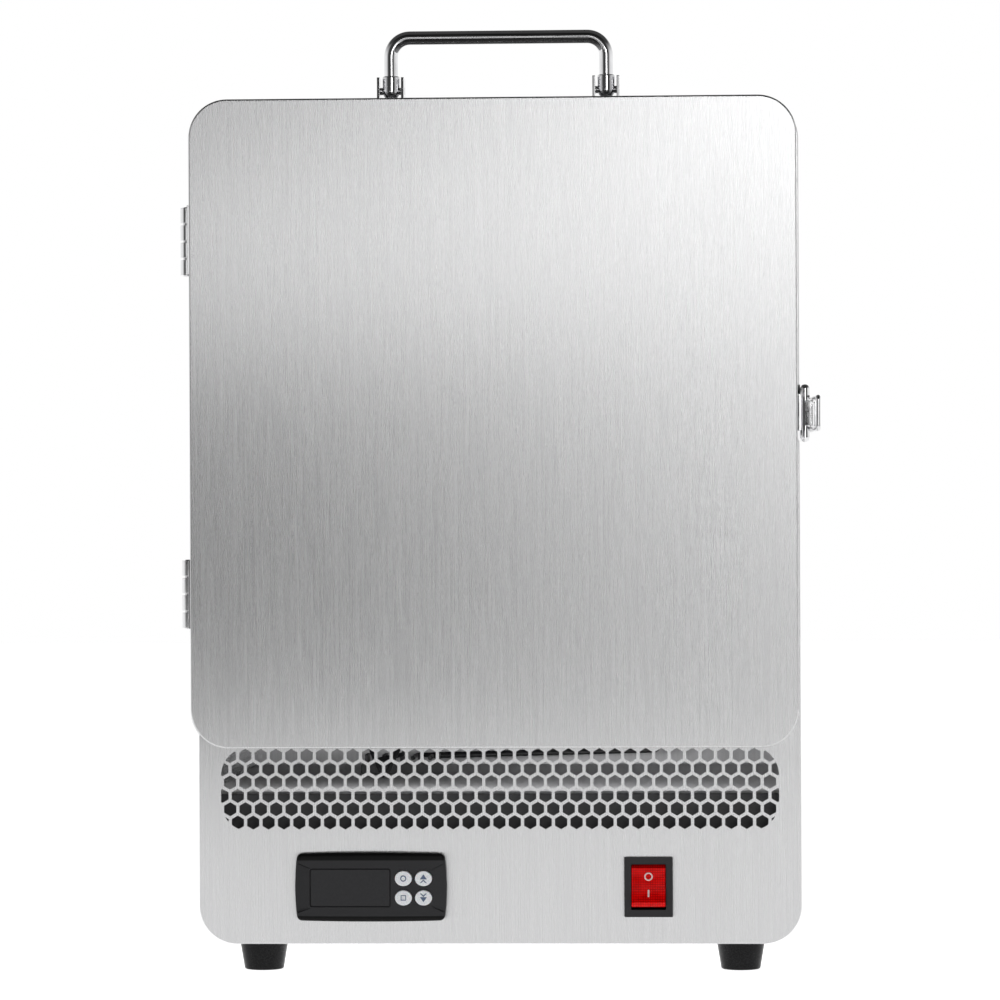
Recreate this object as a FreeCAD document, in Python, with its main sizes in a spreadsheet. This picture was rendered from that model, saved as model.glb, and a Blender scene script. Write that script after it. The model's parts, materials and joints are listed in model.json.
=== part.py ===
import FreeCAD, Part
import Sketcher
import math
import os
import re

# Tabletop food dehydrator: a sheet-steel cabinet with a hinged door, a drying chamber with five
# trays, and a lower bay with the fan and the controls behind a hexagon grille.
# Millimetres, +Z up, the door faces -Y and the latch is at +X. The origin is on the floor,
# under the centre of the whole machine.

SIZES = {
    # cabinet
    "body_width": 315,
    "body_height": 440,
    "body_bottom": 15,
    "corner_radius": 20,
    "cabinet_front": -132.5,
    "cabinet_back": 157.5,
    "sheet_gauge": 0.8,
    # drying chamber
    "opening_width": 279,
    "opening_bottom": 152,
    "opening_top": 441,
    "opening_radius": 8,
    "liner_gauge": 0.6,
    "liner_back": 120,
    "floor_level": 168,
    # hexagon grille
    "grille_width": 292,
    "grille_height": 44,
    "grille_level": 96.1,
    "grille_radius": 15,
    "hex_pitch": 8.07,
    "hex_flats": 6.4,
    # door
    "door_width": 315,
    "door_height": 336.9,
    "door_offset": -1.35,
    "door_bottom": 118.6,
    "door_depth": 25,
    "seam": 0.5,
    "gasket_gap": 0.3,
    "gasket_width": 6,
    # hinges
    "hinge_axis": -162.6,
    "hinge_upper": 383.2,
    "hinge_lower": 198.4,
    "knuckle_radius": 3.4,
    "knuckle_length": 8.0,
    "knuckle_pitch": 9.1,
    "hinge_pin_radius": 1.9,
    "leaf_gauge": 1.2,
    "leaf_height": 35.3,
    # carrying handle
    "handle_centre": -5.6,
    "handle_depth": 12.5,
    "handle_pivot": 475,
    "handle_reach": 29.6,
    "handle_spacing": 119.6,
    "handle_rod": 3.75,
    "handle_bend": 10.5,
    "handle_sleeve": 4.85,
    "bracket_width": 14.9,
    "bracket_gauge": 1.5,
    "bracket_top": 482.2,
    "pivot_pin_radius": 2,
    # feet
    "foot_height": 15,
    "foot_top_radius": 12.75,
    "foot_bottom_radius": 10.25,
    "foot_spread": 125.8,
    "foot_front": -110.5,
    "foot_back": 132.5,
    # controller
    "controller_x": -67.2,
    "controller_z": 45.2,
    "controller_width": 77,
    "controller_height": 35,
    "bezel_depth": 6,
    "case_width": 71,
    "case_height": 29,
    "case_depth": 60,
    "button_width": 8.9,
    "button_height": 7.9,
    "button_radius": 3.6,
    "button_pitch": 10.5,
    "button_rise": 10.1,
    # power switch
    "rocker_x": 77.8,
    "rocker_z": 44.9,
    "rocker_width": 17.6,
    "rocker_pivot": -129.5,
    # fan
    "fan_x": -63,
    "fan_y": 0,
    "fan_size": 120,
    "fan_bottom": 120,
    "fan_top": 145,
    "fan_bore": 56,
    "hub_radius": 20,
    "shaft_radius": 2,
    # trays
    "tray_width": 270,
    "tray_depth": 228,
    "tray_front": -110,
    "tray_first": 195,
    "tray_pitch": 48,
    # toggle latch
    "latch_level": 291.3,
    "latch_pivot_x": 162.6,
    "latch_pivot_y": -106,
    "loop_pivot_x": 164.4,
    "loop_pivot_y": -97,
    "latch_pin_radius": 1.2,
    "keeper_x": 160.2,
    "keeper_y": -142.2,
    "keeper_roll": 2.5,
    # clearance of a shaft in its bore
    "running_gap": 0.05,
}
TRAY_COUNT = 5
FAN_BLADES = 7
ROCKER_TILT = 8
LEFT, RIGHT = -1, 1

X_AXIS = FreeCAD.Vector(1, 0, 0)
Y_AXIS = FreeCAD.Vector(0, 1, 0)
Z_AXIS = FreeCAD.Vector(0, 0, 1)
ALONG = {
    "x": FreeCAD.Rotation(Y_AXIS, 90),
    "y": FreeCAD.Rotation(X_AXIS, -90),
    "z": FreeCAD.Rotation(),
}
PLANES = {"front": "XZ_Plane", "side": "YZ_Plane", "top": "XY_Plane"}

doc = FreeCAD.newDocument("FoodDehydrator")
nodes = []


# ---------------------------------------------------------------- helpers

def make_sheet():
    sheet = doc.addObject("Spreadsheet::Sheet", "Sizes")
    for row, (name, size) in enumerate(SIZES.items(), 1):
        sheet.set("A%d" % row, name)
        sheet.set("B%d" % row, str(size))
        sheet.setAlias("B%d" % row, name)
    doc.recompute()
    return sheet


def formula(text):
    """Write a size formula with each driving dimension's name led by the sheet's name."""
    def with_sheet(word):
        return "Sizes." + word.group() if word.group() in SIZES else word.group()
    return re.sub(r"[a-z_]+", with_sheet, str(text))


def bind(item, cells):
    for field, text in cells.items():
        item.setExpression(field, formula(text))


def place(item, x, y, z):
    bind(item, {"Placement.Base.x": x, "Placement.Base.y": y, "Placement.Base.z": z})


def length(pair):
    return "(%s) - (%s)" % (pair[1], pair[0])


def middle(pair):
    return "((%s) + (%s)) / 2" % pair


def about(centre, width):
    """The low and high ends of a span that is centred."""
    return "%s - (%s) / 2" % (centre, width), "%s + (%s) / 2" % (centre, width)


def block(name, x, y, z):
    """A box given by its low and high ends along each axis."""
    item = doc.addObject("Part::Box", name)
    bind(item, {"Length": length(x), "Width": length(y), "Height": length(z)})
    place(item, x[0], y[0], z[0])
    return item


def cylinder(name, radius, height, axis, x, y, z):
    """A cylinder that starts at (x, y, z) and runs along an axis."""
    item = doc.addObject("Part::Cylinder", name)
    item.Placement = FreeCAD.Placement(FreeCAD.Vector(), ALONG[axis])
    bind(item, {"Radius": radius, "Height": height})
    place(item, x, y, z)
    return item


def fuse(name, items):
    item = doc.addObject("Part::MultiFuse", name)
    item.Shapes = items
    return item


def group(name, items):
    """Separate solids that share one node."""
    item = doc.addObject("Part::Compound", name)
    item.Links = items
    return item


def cut(name, base, tools):
    item = doc.addObject("Part::Cut", name)
    item.Base = base
    item.Tool = tools[0] if len(tools) == 1 else group(name + "Tools", tools)
    return item


def common(name, base, tool):
    item = doc.addObject("Part::Common", name)
    item.Base = base
    item.Tool = tool
    return item


def mirrored(name, source):
    """A copy of a piece on the other side of the machine."""
    item = doc.addObject("Part::Mirroring", name)
    item.Source = source
    item.Normal = X_AXIS
    return item


def shaped(name, shape):
    """A piece whose shape is worked out in code."""
    item = doc.addObject("Part::Feature", name)
    item.Shape = shape
    item.Placement = FreeCAD.Placement()
    return item


def node(name, item):
    item.Label = name
    nodes.append(item)
    return item


def new_body(name):
    return doc.addObject("PartDesign::Body", name)


def new_sketch(body, name, facing, across, up, level):
    """A sketch on one of the body's origin planes, centred at (across, up), at a level along its normal."""
    sketch = body.newObject("Sketcher::SketchObject", name)
    plane = next(part for part in body.Origin.OriginFeatures if part.Role == PLANES[facing])
    sketch.AttachmentSupport = (plane, [""])
    sketch.MapMode = "FlatFace"
    offset = "-(%s)" % level if facing == "front" else level
    bind(sketch, {"AttachmentOffset.Base.x": across, "AttachmentOffset.Base.y": up,
                  "AttachmentOffset.Base.z": offset})
    return sketch


def rounded_rectangle(sketch, width, height, radius):
    """Four lines and four arcs about the sketch's centre, held by three bound dimensions."""
    first = sketch.GeometryCount
    half, bend = 50.0, 10.0
    flat = half - bend
    vector = FreeCAD.Vector
    sketch.addGeometry([
        Part.LineSegment(vector(-flat, -half, 0), vector(flat, -half, 0)),
        Part.LineSegment(vector(half, -flat, 0), vector(half, flat, 0)),
        Part.LineSegment(vector(flat, half, 0), vector(-flat, half, 0)),
        Part.LineSegment(vector(-half, flat, 0), vector(-half, -flat, 0)),
    ], False)
    for quarter, (x, y) in enumerate([(flat, -flat), (flat, flat), (-flat, flat), (-flat, -flat)]):
        start = math.radians(90 * quarter - 90)
        circle = Part.Circle(vector(x, y, 0), Z_AXIS, bend)
        sketch.addGeometry(Part.ArcOfCircle(circle, start, start + math.pi / 2), False)
    rule = Sketcher.Constraint
    rules = [rule("Horizontal", first), rule("Vertical", first + 1),
             rule("Horizontal", first + 2), rule("Vertical", first + 3)]
    for side in range(4):
        rules.append(rule("Tangent", first + side, 2, first + 4 + side, 1))
        rules.append(rule("Tangent", first + 4 + side, 2, first + (side + 1) % 4, 1))
    for side in range(3):
        rules.append(rule("Equal", first + 4 + side, first + 5 + side))
    rules.append(rule("Symmetric", first + 5, 3, first + 7, 3, -1, 1))
    sketch.addConstraint(rules)
    dimensions = [
        (rule("DistanceX", first + 3, 1, first + 1, 1, 2 * half), width),
        (rule("DistanceY", first, 1, first + 2, 2, 2 * half), height),
        (rule("Radius", first + 4, bend), radius),
    ]
    for dimension, text in dimensions:
        index = sketch.addConstraint(dimension)
        sketch.setExpression("Constraints[%d]" % index, formula(text))


def rounded_pad(body, name, facing, across, up, depth, radius, wall=None):
    """Add a slab with rounded corners; with a wall thickness it is a tube."""
    level = depth[1] if facing == "front" else depth[0]
    sketch = new_sketch(body, name + "Sketch", facing, middle(across), middle(up), level)
    rounded_rectangle(sketch, length(across), length(up), radius)
    if wall:
        rounded_rectangle(sketch, "%s - 2 * (%s)" % (length(across), wall),
                          "%s - 2 * (%s)" % (length(up), wall), "%s - (%s)" % (radius, wall))
    pad = body.newObject("PartDesign::Pad", name)
    pad.Profile = sketch
    bind(pad, {"Length": length(depth)})
    return pad


def rounded_pocket(body, name, facing, across, up, depth, radius):
    """Cut a hollow with rounded corners out of the body."""
    level = depth[0] if facing == "front" else depth[1]
    sketch = new_sketch(body, name + "Sketch", facing, middle(across), middle(up), level)
    rounded_rectangle(sketch, length(across), length(up), radius)
    pocket = body.newObject("PartDesign::Pocket", name)
    pocket.Profile = sketch
    bind(pocket, {"Length": length(depth)})
    return pocket


def rounded_slab(name, facing, across, up, depth, radius, wall=None):
    body = new_body(name)
    rounded_pad(body, name + "Pad", facing, across, up, depth, radius, wall)
    return body


def tube_along(points, radius, bend):
    """A round rod along straight runs joined by tangent arcs."""
    corners = [FreeCAD.Vector(*point) for point in points]
    edges = []
    start = corners[0]
    for before, corner, after in zip(corners, corners[1:], corners[2:]):
        into = (corner - before).normalize()
        out = (after - corner).normalize()
        turn = into.getAngle(out)
        reach = bend * math.tan(turn / 2)
        first = corner - into * reach
        last = corner + out * reach
        inward = (out - into).normalize()
        centre = corner + inward * (bend / math.cos(turn / 2))
        edges.append(Part.LineSegment(start, first).toShape())
        edges.append(Part.Arc(first, centre - inward * bend, last).toShape())
        start = last
    edges.append(Part.LineSegment(start, corners[-1]).toShape())
    path = Part.Wire(edges)
    direction = (corners[1] - corners[0]).normalize()
    circle = Part.Wire([Part.makeCircle(radius, corners[0], direction)])
    return path.makePipeShell([circle], True, True)


# ---------------------------------------------------------------- cabinet

FASCIA = ("cabinet_front", "cabinet_front + sheet_gauge")
REAR = ("cabinet_back - sheet_gauge", "cabinet_back")
BODY_X = about("0", "body_width")
BODY_Z = ("body_bottom", "body_bottom + body_height")
BODY_TOP = "body_bottom + body_height"
BODY_LEFT = "-body_width / 2"
BODY_RIGHT = "body_width / 2"


def fixing(name, axis, sign, x, y, z, head="3", shank="1.5", grip="3.2", height="1.2"):
    """A rivet or screw: a head on a surface and a shank through it, with the head towards +axis or -axis."""
    start = {"x": x, "y": y, "z": z}
    heads = dict(start)
    shanks = dict(start)
    if sign > 0:
        shanks[axis] = "%s - (%s)" % (start[axis], grip)
    else:
        heads[axis] = "%s - (%s)" % (start[axis], height)
    head_item = cylinder(name + "Head", head, height, axis, heads["x"], heads["y"], heads["z"])
    shank_item = cylinder(name + "Shank", shank, grip, axis, shanks["x"], shanks["y"], shanks["z"])
    return fuse(name, [head_item, shank_item]), shank_item


def hex_holes():
    """The grille's holes: a staggered field of hexagons, cut off at a rounded outline."""
    pitch = SIZES["hex_pitch"]
    row_pitch = pitch * math.sqrt(3) / 2
    corner = SIZES["hex_flats"] / math.sqrt(3)
    back = SIZES["cabinet_front"] + 2 * SIZES["sheet_gauge"]
    reach = 3 * SIZES["sheet_gauge"]
    faces = []
    for row in range(6):
        level = SIZES["grille_level"] + (2.5 - row) * row_pitch
        count = 36 if row % 2 == 0 else 37
        for column in range(count):
            centre = (column - (count - 1) / 2) * pitch
            ring = [FreeCAD.Vector(centre + corner * math.sin(math.radians(60 * side)), back,
                                   level + corner * math.cos(math.radians(60 * side)))
                    for side in range(6)]
            faces.append(Part.Face(Part.makePolygon(ring + ring[:1])))
    field = Part.makeCompound([face.extrude(FreeCAD.Vector(0, -reach, 0)) for face in faces])
    return shaped("HexField", field)


def make_cabinet():
    wrap = rounded_slab("WrapTube", "front", BODY_X, BODY_Z, (FASCIA[1], REAR[0]),
                        "corner_radius", "sheet_gauge")
    fascia = rounded_slab("FasciaSheet", "front", BODY_X, BODY_Z, FASCIA, "corner_radius")
    rounded_pocket(fascia, "ChamberOpening", "front", about("0", "opening_width"),
                   ("opening_bottom", "opening_top"), FASCIA, "opening_radius")
    rounded_pocket(fascia, "ControllerCutout", "front", about("controller_x", "case_width"),
                   about("controller_z", "case_height"), FASCIA, "1")
    rounded_pocket(fascia, "RockerCutout", "front", about("rocker_x", "rocker_width + 4.6"),
                   about("rocker_z", "27.8"), FASCIA, "1")
    outline = rounded_slab("GrilleOutline", "front", about("0", "grille_width"),
                           about("grille_level", "grille_height"),
                           ("cabinet_front - sheet_gauge", "cabinet_front + 2 * sheet_gauge"),
                           "grille_radius")
    holes = common("GrilleHoles", hex_holes(), outline)
    node("front_fascia", cut("FasciaWithGrille", fascia, [holes]))
    return wrap


def make_rear_panel():
    sheet = rounded_slab("RearSheet", "front", BODY_X, BODY_Z, REAR, "corner_radius")
    slots = []
    for row in range(6):
        for column in (-1, 0, 1):
            level = "%d" % (400 - 12 * row)
            slots.append(rounded_slab("UpperVent%d_%d" % (row, column + 1), "front",
                                      about("%d" % (72 * column), "56"), about(level, "4"),
                                      ("cabinet_back - 3", "cabinet_back + 3"), "1.9"))
    inlet = block("InletCutout", about("95", "28"), ("cabinet_back - 3", "cabinet_back + 3"),
                  about("45", "21"))
    screws = []
    shanks = []
    for across in (-1, 1):
        for level in ("30", "160", "310", "440"):
            name = "PanelScrew%d_%s" % (across + 1, level)
            screw, shank = fixing(name, "y", 1, "%d * (body_width / 2 - 9)" % across, "cabinet_back",
                                  level, head="3", shank="1.6", grip="6", height="1.7")
            slot = block(name + "Slot", about("%d * (body_width / 2 - 9)" % across, "4.4"),
                         ("cabinet_back + 0.9", "cabinet_back + 2"), about(level, "0.8"))
            screws.append(cut(name + "Slotted", screw, [slot]))
            shanks.append(shank)
    node("rear_panel", cut("RearPanel", sheet, slots + [inlet] + shanks))
    node("rear_panel_screws", group("RearScrews", screws))


def make_chamber():
    liner = new_body("LinerBox")
    box_x = about("0", "opening_width + 2 * liner_gauge")
    box_z = ("opening_bottom - liner_gauge", "opening_top + liner_gauge")
    rounded_pad(liner, "LinerShell", "front", box_x, box_z, (FASCIA[1], "liner_back"),
                "opening_radius + liner_gauge")
    rounded_pocket(liner, "LinerHollow", "front", about("0", "opening_width"),
                   ("opening_bottom", "opening_top"), (FASCIA[1], "liner_back - liner_gauge"),
                   "opening_radius")
    air_inlet = cylinder("AirInlet", "fan_bore - 1", "6", "z", "fan_x", "fan_y", "opening_bottom - 3")
    vents = []
    for column in range(-3, 4):
        vents.append(block("LinerVent%d" % (column + 3), about("%d * 36" % column, "24"),
                           ("liner_back - 3", "liner_back + 3"), ("418", "424")))
    node("chamber_liner", cut("ChamberLiner", liner, [air_inlet] + vents))

    plate = rounded_slab("DiffuserPlate", "top", about("0", "opening_width - 1"), ("-126", "117"),
                         ("floor_level", "floor_level + 1"), "4")
    legs = [block("DiffuserLeg%d" % side, about("0", "opening_width - 20"), edge,
                  ("opening_bottom", "floor_level"))
            for side, edge in enumerate([("-126", "-125"), ("116", "117")])]
    drills = []
    for row in range(9):
        for column in range(11):
            spot = FreeCAD.Vector((column - 5) * 23, (row - 4) * 24 - 4, SIZES["floor_level"] - 1)
            drills.append(Part.makeCylinder(5, 3, spot, Z_AXIS))
    drilled = cut("DrilledPlate", plate, [shaped("DiffuserDrills", Part.makeCompound(drills))])
    node("diffuser_floor", fuse("DiffuserFloor", [drilled] + legs))

    blanket = rounded_slab("BlanketBlock", "front", about("0", "body_width - 5"), ("160", "452.5"),
                           ("-128", "116"), "18")
    hollow = block("BlanketHollow", about("0", "opening_width + 2 * liner_gauge + 1"),
                   ("-130", "118"), ("150", "opening_top + liner_gauge + 0.5"))
    node("insulation_blanket", cut("InsulationBlanket", blanket, [hollow]))


def make_racks():
    wall = ("-opening_width / 2 + 0.2", "-opening_width / 2 + 1.4")
    plate = block("RackPlate", wall, ("-105", "112"), ("floor_level + 1", "430"))
    windows = [block("RackWindow%d_%d" % (row, column), ("-opening_width / 2 - 1", "-opening_width / 2 + 3"),
                     ("%d" % (-93 + 66 * column), "%d" % (-93 + 66 * column + 54)),
                     ("tray_first + tray_pitch * %d + 6" % row, "tray_first + tray_pitch * %d + 38" % row))
               for row in range(-1, TRAY_COUNT - 1) for column in range(3) if row >= 0]
    windowed = cut("RackWindowed", plate, windows)
    ledges = [block("RackLedge%d" % tier, (wall[1], "-opening_width / 2 + 13"), ("-105", "112"),
                    ("tray_first + tray_pitch * %d - 1.5" % tier, "tray_first + tray_pitch * %d - 0.3" % tier))
              for tier in range(TRAY_COUNT)]
    left = fuse("RackLeft", [windowed] + ledges)
    node("tray_rack_left", left)
    node("tray_rack_right", mirrored("RackRight", left))


def make_feet(wrap_holes):
    screws = []
    cabinet_floor = "body_bottom + sheet_gauge"
    for across, side in ((LEFT, "left"), (RIGHT, "right")):
        for end, depth in (("front", "foot_front"), ("rear", "foot_back")):
            name = "Foot%s%s" % (end.title(), side.title())
            x = "%d * foot_spread" % across
            cone = doc.addObject("Part::Cone", name + "Cone")
            bind(cone, {"Radius1": "foot_bottom_radius", "Radius2": "foot_top_radius",
                        "Height": "foot_height"})
            place(cone, x, depth, "0")
            recess = cylinder(name + "Recess", "4.2", "7", "z", x, depth, "0")
            screw, shank = fixing(name + "Screw", "z", -1, x, depth, "7", head="3.8", shank="2",
                                  grip="14", height="2.6")
            node("foot_%s_%s" % (end, side), cut(name, cone, [recess, shank]))
            nut = cylinder(name + "Nut", "3.5", "3", "z", x, depth, cabinet_floor)
            screws.append(fuse(name + "Fixing", [screw, nut]))
            wrap_holes.append(shank)
    node("foot_screws", group("FootScrews", screws))


# ---------------------------------------------------------------- hinges

KNUCKLES_FRAME = (0, 2)
KNUCKLES_DOOR = (1, 3)


def knuckle_span(level, place_number):
    low = "%s - leaf_height / 2 + knuckle_pitch * %d" % (level, place_number)
    return low, low + " + knuckle_length"


def make_leaf(name, level, knuckles, plate, arm, bore):
    """A hinge leaf: a flat plate, and knuckles that arms join to it."""
    z = about(level, "leaf_height")
    plate_item = block(name + "Plate", plate[0], plate[1], z)
    pieces = [plate_item]
    for number in knuckles:
        low, high = knuckle_span(level, number)
        barrel = cylinder("%sKnuckle%d" % (name, number), "knuckle_radius", "knuckle_length", "z",
                          "hinge_axis", "cabinet_front", low)
        pieces.append(barrel)
        pieces.append(block("%sArm%d" % (name, number), arm[0], arm[1], (low, high)))
    solid = fuse(name + "Solid", pieces)
    hole = cylinder(name + "Bore", bore, "leaf_height + 2", "z", "hinge_axis", "cabinet_front",
                    "%s - leaf_height / 2 - 1" % level)
    return cut(name, solid, [hole])


def make_hinges(wrap_holes, cabinet_rivets, door_holes, door_rivets):
    frame_plate = (("%s - leaf_gauge" % BODY_LEFT, BODY_LEFT), ("cabinet_front + 1.6", "cabinet_front + 27"))
    frame_arm = (("hinge_axis", BODY_LEFT), ("cabinet_front + 1.2", "cabinet_front + 2.4"))
    door_left = "door_offset - door_width / 2"
    door_plate = (("%s - leaf_gauge" % door_left, door_left),
                  ("cabinet_front - door_depth + 3", "cabinet_front - 2.4"))
    door_arm = (("hinge_axis", door_left), ("cabinet_front - 3.2", "cabinet_front - 2"))
    pins = []
    for title, level in (("Upper", "hinge_upper"), ("Lower", "hinge_lower")):
        frame_leaf = make_leaf("%sFrameLeaf" % title, level, KNUCKLES_FRAME, frame_plate, frame_arm,
                               "hinge_pin_radius")
        door_leaf = make_leaf("%sDoorLeaf" % title, level, KNUCKLES_DOOR, door_plate, door_arm,
                              "hinge_pin_radius + running_gap")
        frame_shanks = []
        door_shanks = []
        for step in (-1, 1):
            rivet_z = "%s + %d * 11" % (level, step)
            for row, inset in enumerate(("10", "20")):
                rivet, shank = fixing("%sFrameRivet%d_%d" % (title, step + 1, row), "x", -1,
                                      "%s - leaf_gauge" % BODY_LEFT, "cabinet_front + %s" % inset,
                                      rivet_z, head="2.4", shank="1.3", grip="3.4", height="1")
                cabinet_rivets.append(rivet)
                frame_shanks.append(shank)
            rivet, shank = fixing("%sDoorRivet%d" % (title, step + 1), "x", -1,
                                  "%s - leaf_gauge" % door_left, "cabinet_front - 13", rivet_z,
                                  head="2.4", shank="1.3", grip="3.4", height="1")
            door_rivets.append(rivet)
            door_shanks.append(shank)
        node("hinge_%s_frame_leaf" % title.lower(), cut("%sFrameHinge" % title, frame_leaf, frame_shanks))
        node("hinge_%s_door_leaf" % title.lower(), cut("%sDoorHinge" % title, door_leaf, door_shanks))
        wrap_holes.extend(frame_shanks)
        door_holes.extend(door_shanks)
        pins.append(cylinder("%sPin" % title, "hinge_pin_radius", "leaf_height + 1", "z", "hinge_axis",
                             "cabinet_front", "%s - leaf_height / 2 - 0.5" % level))
    node("hinge_pins", group("HingePins", pins))


# ---------------------------------------------------------------- door

DOOR_X = about("door_offset", "door_width")
DOOR_Z = ("door_bottom", "door_bottom + door_height")
DOOR_FRONT = "cabinet_front - door_depth"
PANEL_BACK = "cabinet_front - 4"


def make_door(holes):
    shell = new_body("DoorShell")
    rounded_pad(shell, "DoorPan", "front", DOOR_X, DOOR_Z, (DOOR_FRONT, "cabinet_front - seam"),
                "corner_radius")
    rounded_pocket(shell, "DoorHollow", "front", about("door_offset", "door_width - 2 * sheet_gauge"),
                   ("door_bottom + sheet_gauge", "door_bottom + door_height - sheet_gauge"),
                   (DOOR_FRONT + " + sheet_gauge", "cabinet_front - seam"), "corner_radius - sheet_gauge")
    node("door_outer_shell", cut("DoorOuterShell", shell, holes))

    inside_x = about("door_offset", "door_width - 2 * sheet_gauge")
    inside_z = ("door_bottom + sheet_gauge", "door_bottom + door_height - sheet_gauge")
    panel = new_body("DoorPanel")
    rounded_pad(panel, "PanelPan", "front", inside_x, inside_z, (PANEL_BACK + " - 7", PANEL_BACK),
                "corner_radius - sheet_gauge")
    rounded_pocket(panel, "PanelHollow", "front",
                   about("door_offset", "door_width - 2 * sheet_gauge - 2 * liner_gauge"),
                   ("door_bottom + sheet_gauge + liner_gauge",
                    "door_bottom + door_height - sheet_gauge - liner_gauge"),
                   (PANEL_BACK + " - 7", PANEL_BACK + " - liner_gauge"),
                   "corner_radius - sheet_gauge - liner_gauge")
    node("door_inner_panel", cut("DoorInnerPanel", panel, holes))

    node("door_insulation", rounded_slab(
        "DoorWool", "front", about("door_offset", "door_width - 12"),
        ("door_bottom + 6", "door_bottom + door_height - 6"),
        (DOOR_FRONT + " + sheet_gauge + 0.3", PANEL_BACK + " - liner_gauge - 0.3"), "14"))
    node("door_gasket", rounded_slab(
        "GasketRing", "front", about("0", "opening_width + 17"),
        ("opening_bottom - 9", "opening_top + 9"), (PANEL_BACK, "cabinet_front - gasket_gap"),
        "opening_radius + 6", "gasket_width"))


# ---------------------------------------------------------------- toggle latch

def latch_z(half_height):
    return about("latch_level", "2 * (%s)" % half_height)


def make_latch(wrap_holes, cabinet_rivets, door_holes, door_rivets):
    """A toggle latch: a base with ears on the cabinet, a lever, a loop, and a keeper on the door's edge."""
    plate = rounded_slab("LatchPlate", "side", ("-124", "-76"), latch_z("13"),
                         (BODY_RIGHT, BODY_RIGHT + " + 1.2"), "4")
    ears = [block("LatchEar%d" % side, (BODY_RIGHT, "latch_pivot_x + 2.4"), about("latch_pivot_y", "9"),
                  about("latch_level + %d * 4.4" % (2 * side - 1), "1.4"))
            for side in (0, 1)]
    shanks = []
    for step in (-1, 1):
        for row, y in enumerate(("-119", "-81")):
            rivet, shank = fixing("LatchRivet%d_%d" % (step + 1, row), "x", 1, BODY_RIGHT + " + 1.2", y,
                                  "latch_level + %d * 8.5" % step, head="2.4", shank="1.3", grip="3.4",
                                  height="1")
            cabinet_rivets.append(rivet)
            shanks.append(shank)
    wrap_holes.extend(shanks)
    pin = cylinder("LatchPin", "latch_pin_radius", "13.6", "z", "latch_pivot_x", "latch_pivot_y",
                   "latch_level - 6.8")
    node("latch_base", cut("LatchBase", fuse("LatchBaseSolid", [plate, pin] + ears), shanks))

    cheeks = []
    for side in (0, 1):
        cheek_z = about("latch_level + %d * 6.1" % (2 * side - 1), "1.2")
        cheeks.append(block("LeverCheek%d" % side, ("160.4", "166.2"), ("latch_pivot_y", "-72"), cheek_z))
        cheeks.append(cylinder("LeverEye%d" % side, "3.2", "1.2", "z", "latch_pivot_x", "latch_pivot_y",
                               cheek_z[0]))
    web = block("LeverWeb", ("165.8", "167"), ("-100.5", "-64"), latch_z("6.7"))
    lip = cylinder("LeverLip", "1.4", "11", "z", "167", "-64", "latch_level - 5.5")
    lever = fuse("LeverSolid", cheeks + [web, lip])
    bores = [cylinder("LeverPinBore", "latch_pin_radius + running_gap", "20", "z", "latch_pivot_x",
                      "latch_pivot_y", "latch_level - 10"),
             cylinder("LeverLoopBore", "latch_pin_radius + running_gap", "20", "z", "loop_pivot_x",
                      "loop_pivot_y", "latch_level - 10")]
    node("latch_lever", cut("LatchLever", lever, bores))

    wire = SIZES["latch_pin_radius"]
    high = SIZES["latch_level"] + 9.4 - wire
    low = SIZES["latch_level"] - 9.4 + wire
    inner = 5.7
    start_x, start_y = SIZES["loop_pivot_x"], SIZES["loop_pivot_y"]
    end_x, end_y = 167.0, -147.6
    route = [(start_x, start_y, SIZES["latch_level"] + inner), (start_x, start_y, high),
             (end_x, end_y, high), (end_x, end_y, low), (start_x, start_y, low),
             (start_x, start_y, SIZES["latch_level"] - inner)]
    node("latch_loop", shaped("LoopWire", tube_along(route, wire, 1.3)))

    door_right = "door_offset + door_width / 2"
    keeper_plate = rounded_slab("KeeperPlate", "side", ("-153", "-134.5"), latch_z("14.8"),
                                (door_right, door_right + " + 1.4"), "6")
    web = block("KeeperWeb", (door_right, "keeper_x"), ("keeper_y - 1", "keeper_y + 1"), latch_z("11"))
    roll = cylinder("KeeperRoll", "keeper_roll", "25", "z", "keeper_x", "keeper_y", "latch_level - 12.5")
    catch = block("KeeperCatch", ("keeper_x", "163.4"), ("-145.9", "keeper_y"), latch_z("6.5"))
    hook = [web, roll, catch]
    for end in (-1, 1):
        ball = doc.addObject("Part::Sphere", "KeeperEnd%d" % (end + 1))
        bind(ball, {"Radius": "keeper_roll"})
        place(ball, "keeper_x", "keeper_y", "latch_level + %d * 12.5" % end)
        hook.append(ball)
    keeper_shanks = []
    for step in (-1, 1):
        rivet, shank = fixing("KeeperRivet%d" % (step + 1), "x", 1, door_right + " + 1.4", "-148.6",
                              "latch_level + %d * 11" % step, head="2.4", shank="1.3", grip="3.6",
                              height="1")
        door_rivets.append(rivet)
        keeper_shanks.append(shank)
    door_holes.extend(keeper_shanks)
    keeper = fuse("KeeperSolid", [keeper_plate] + hook)
    node("latch_keeper", cut("LatchKeeper", keeper, keeper_shanks))


# ---------------------------------------------------------------- carrying handle

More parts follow.
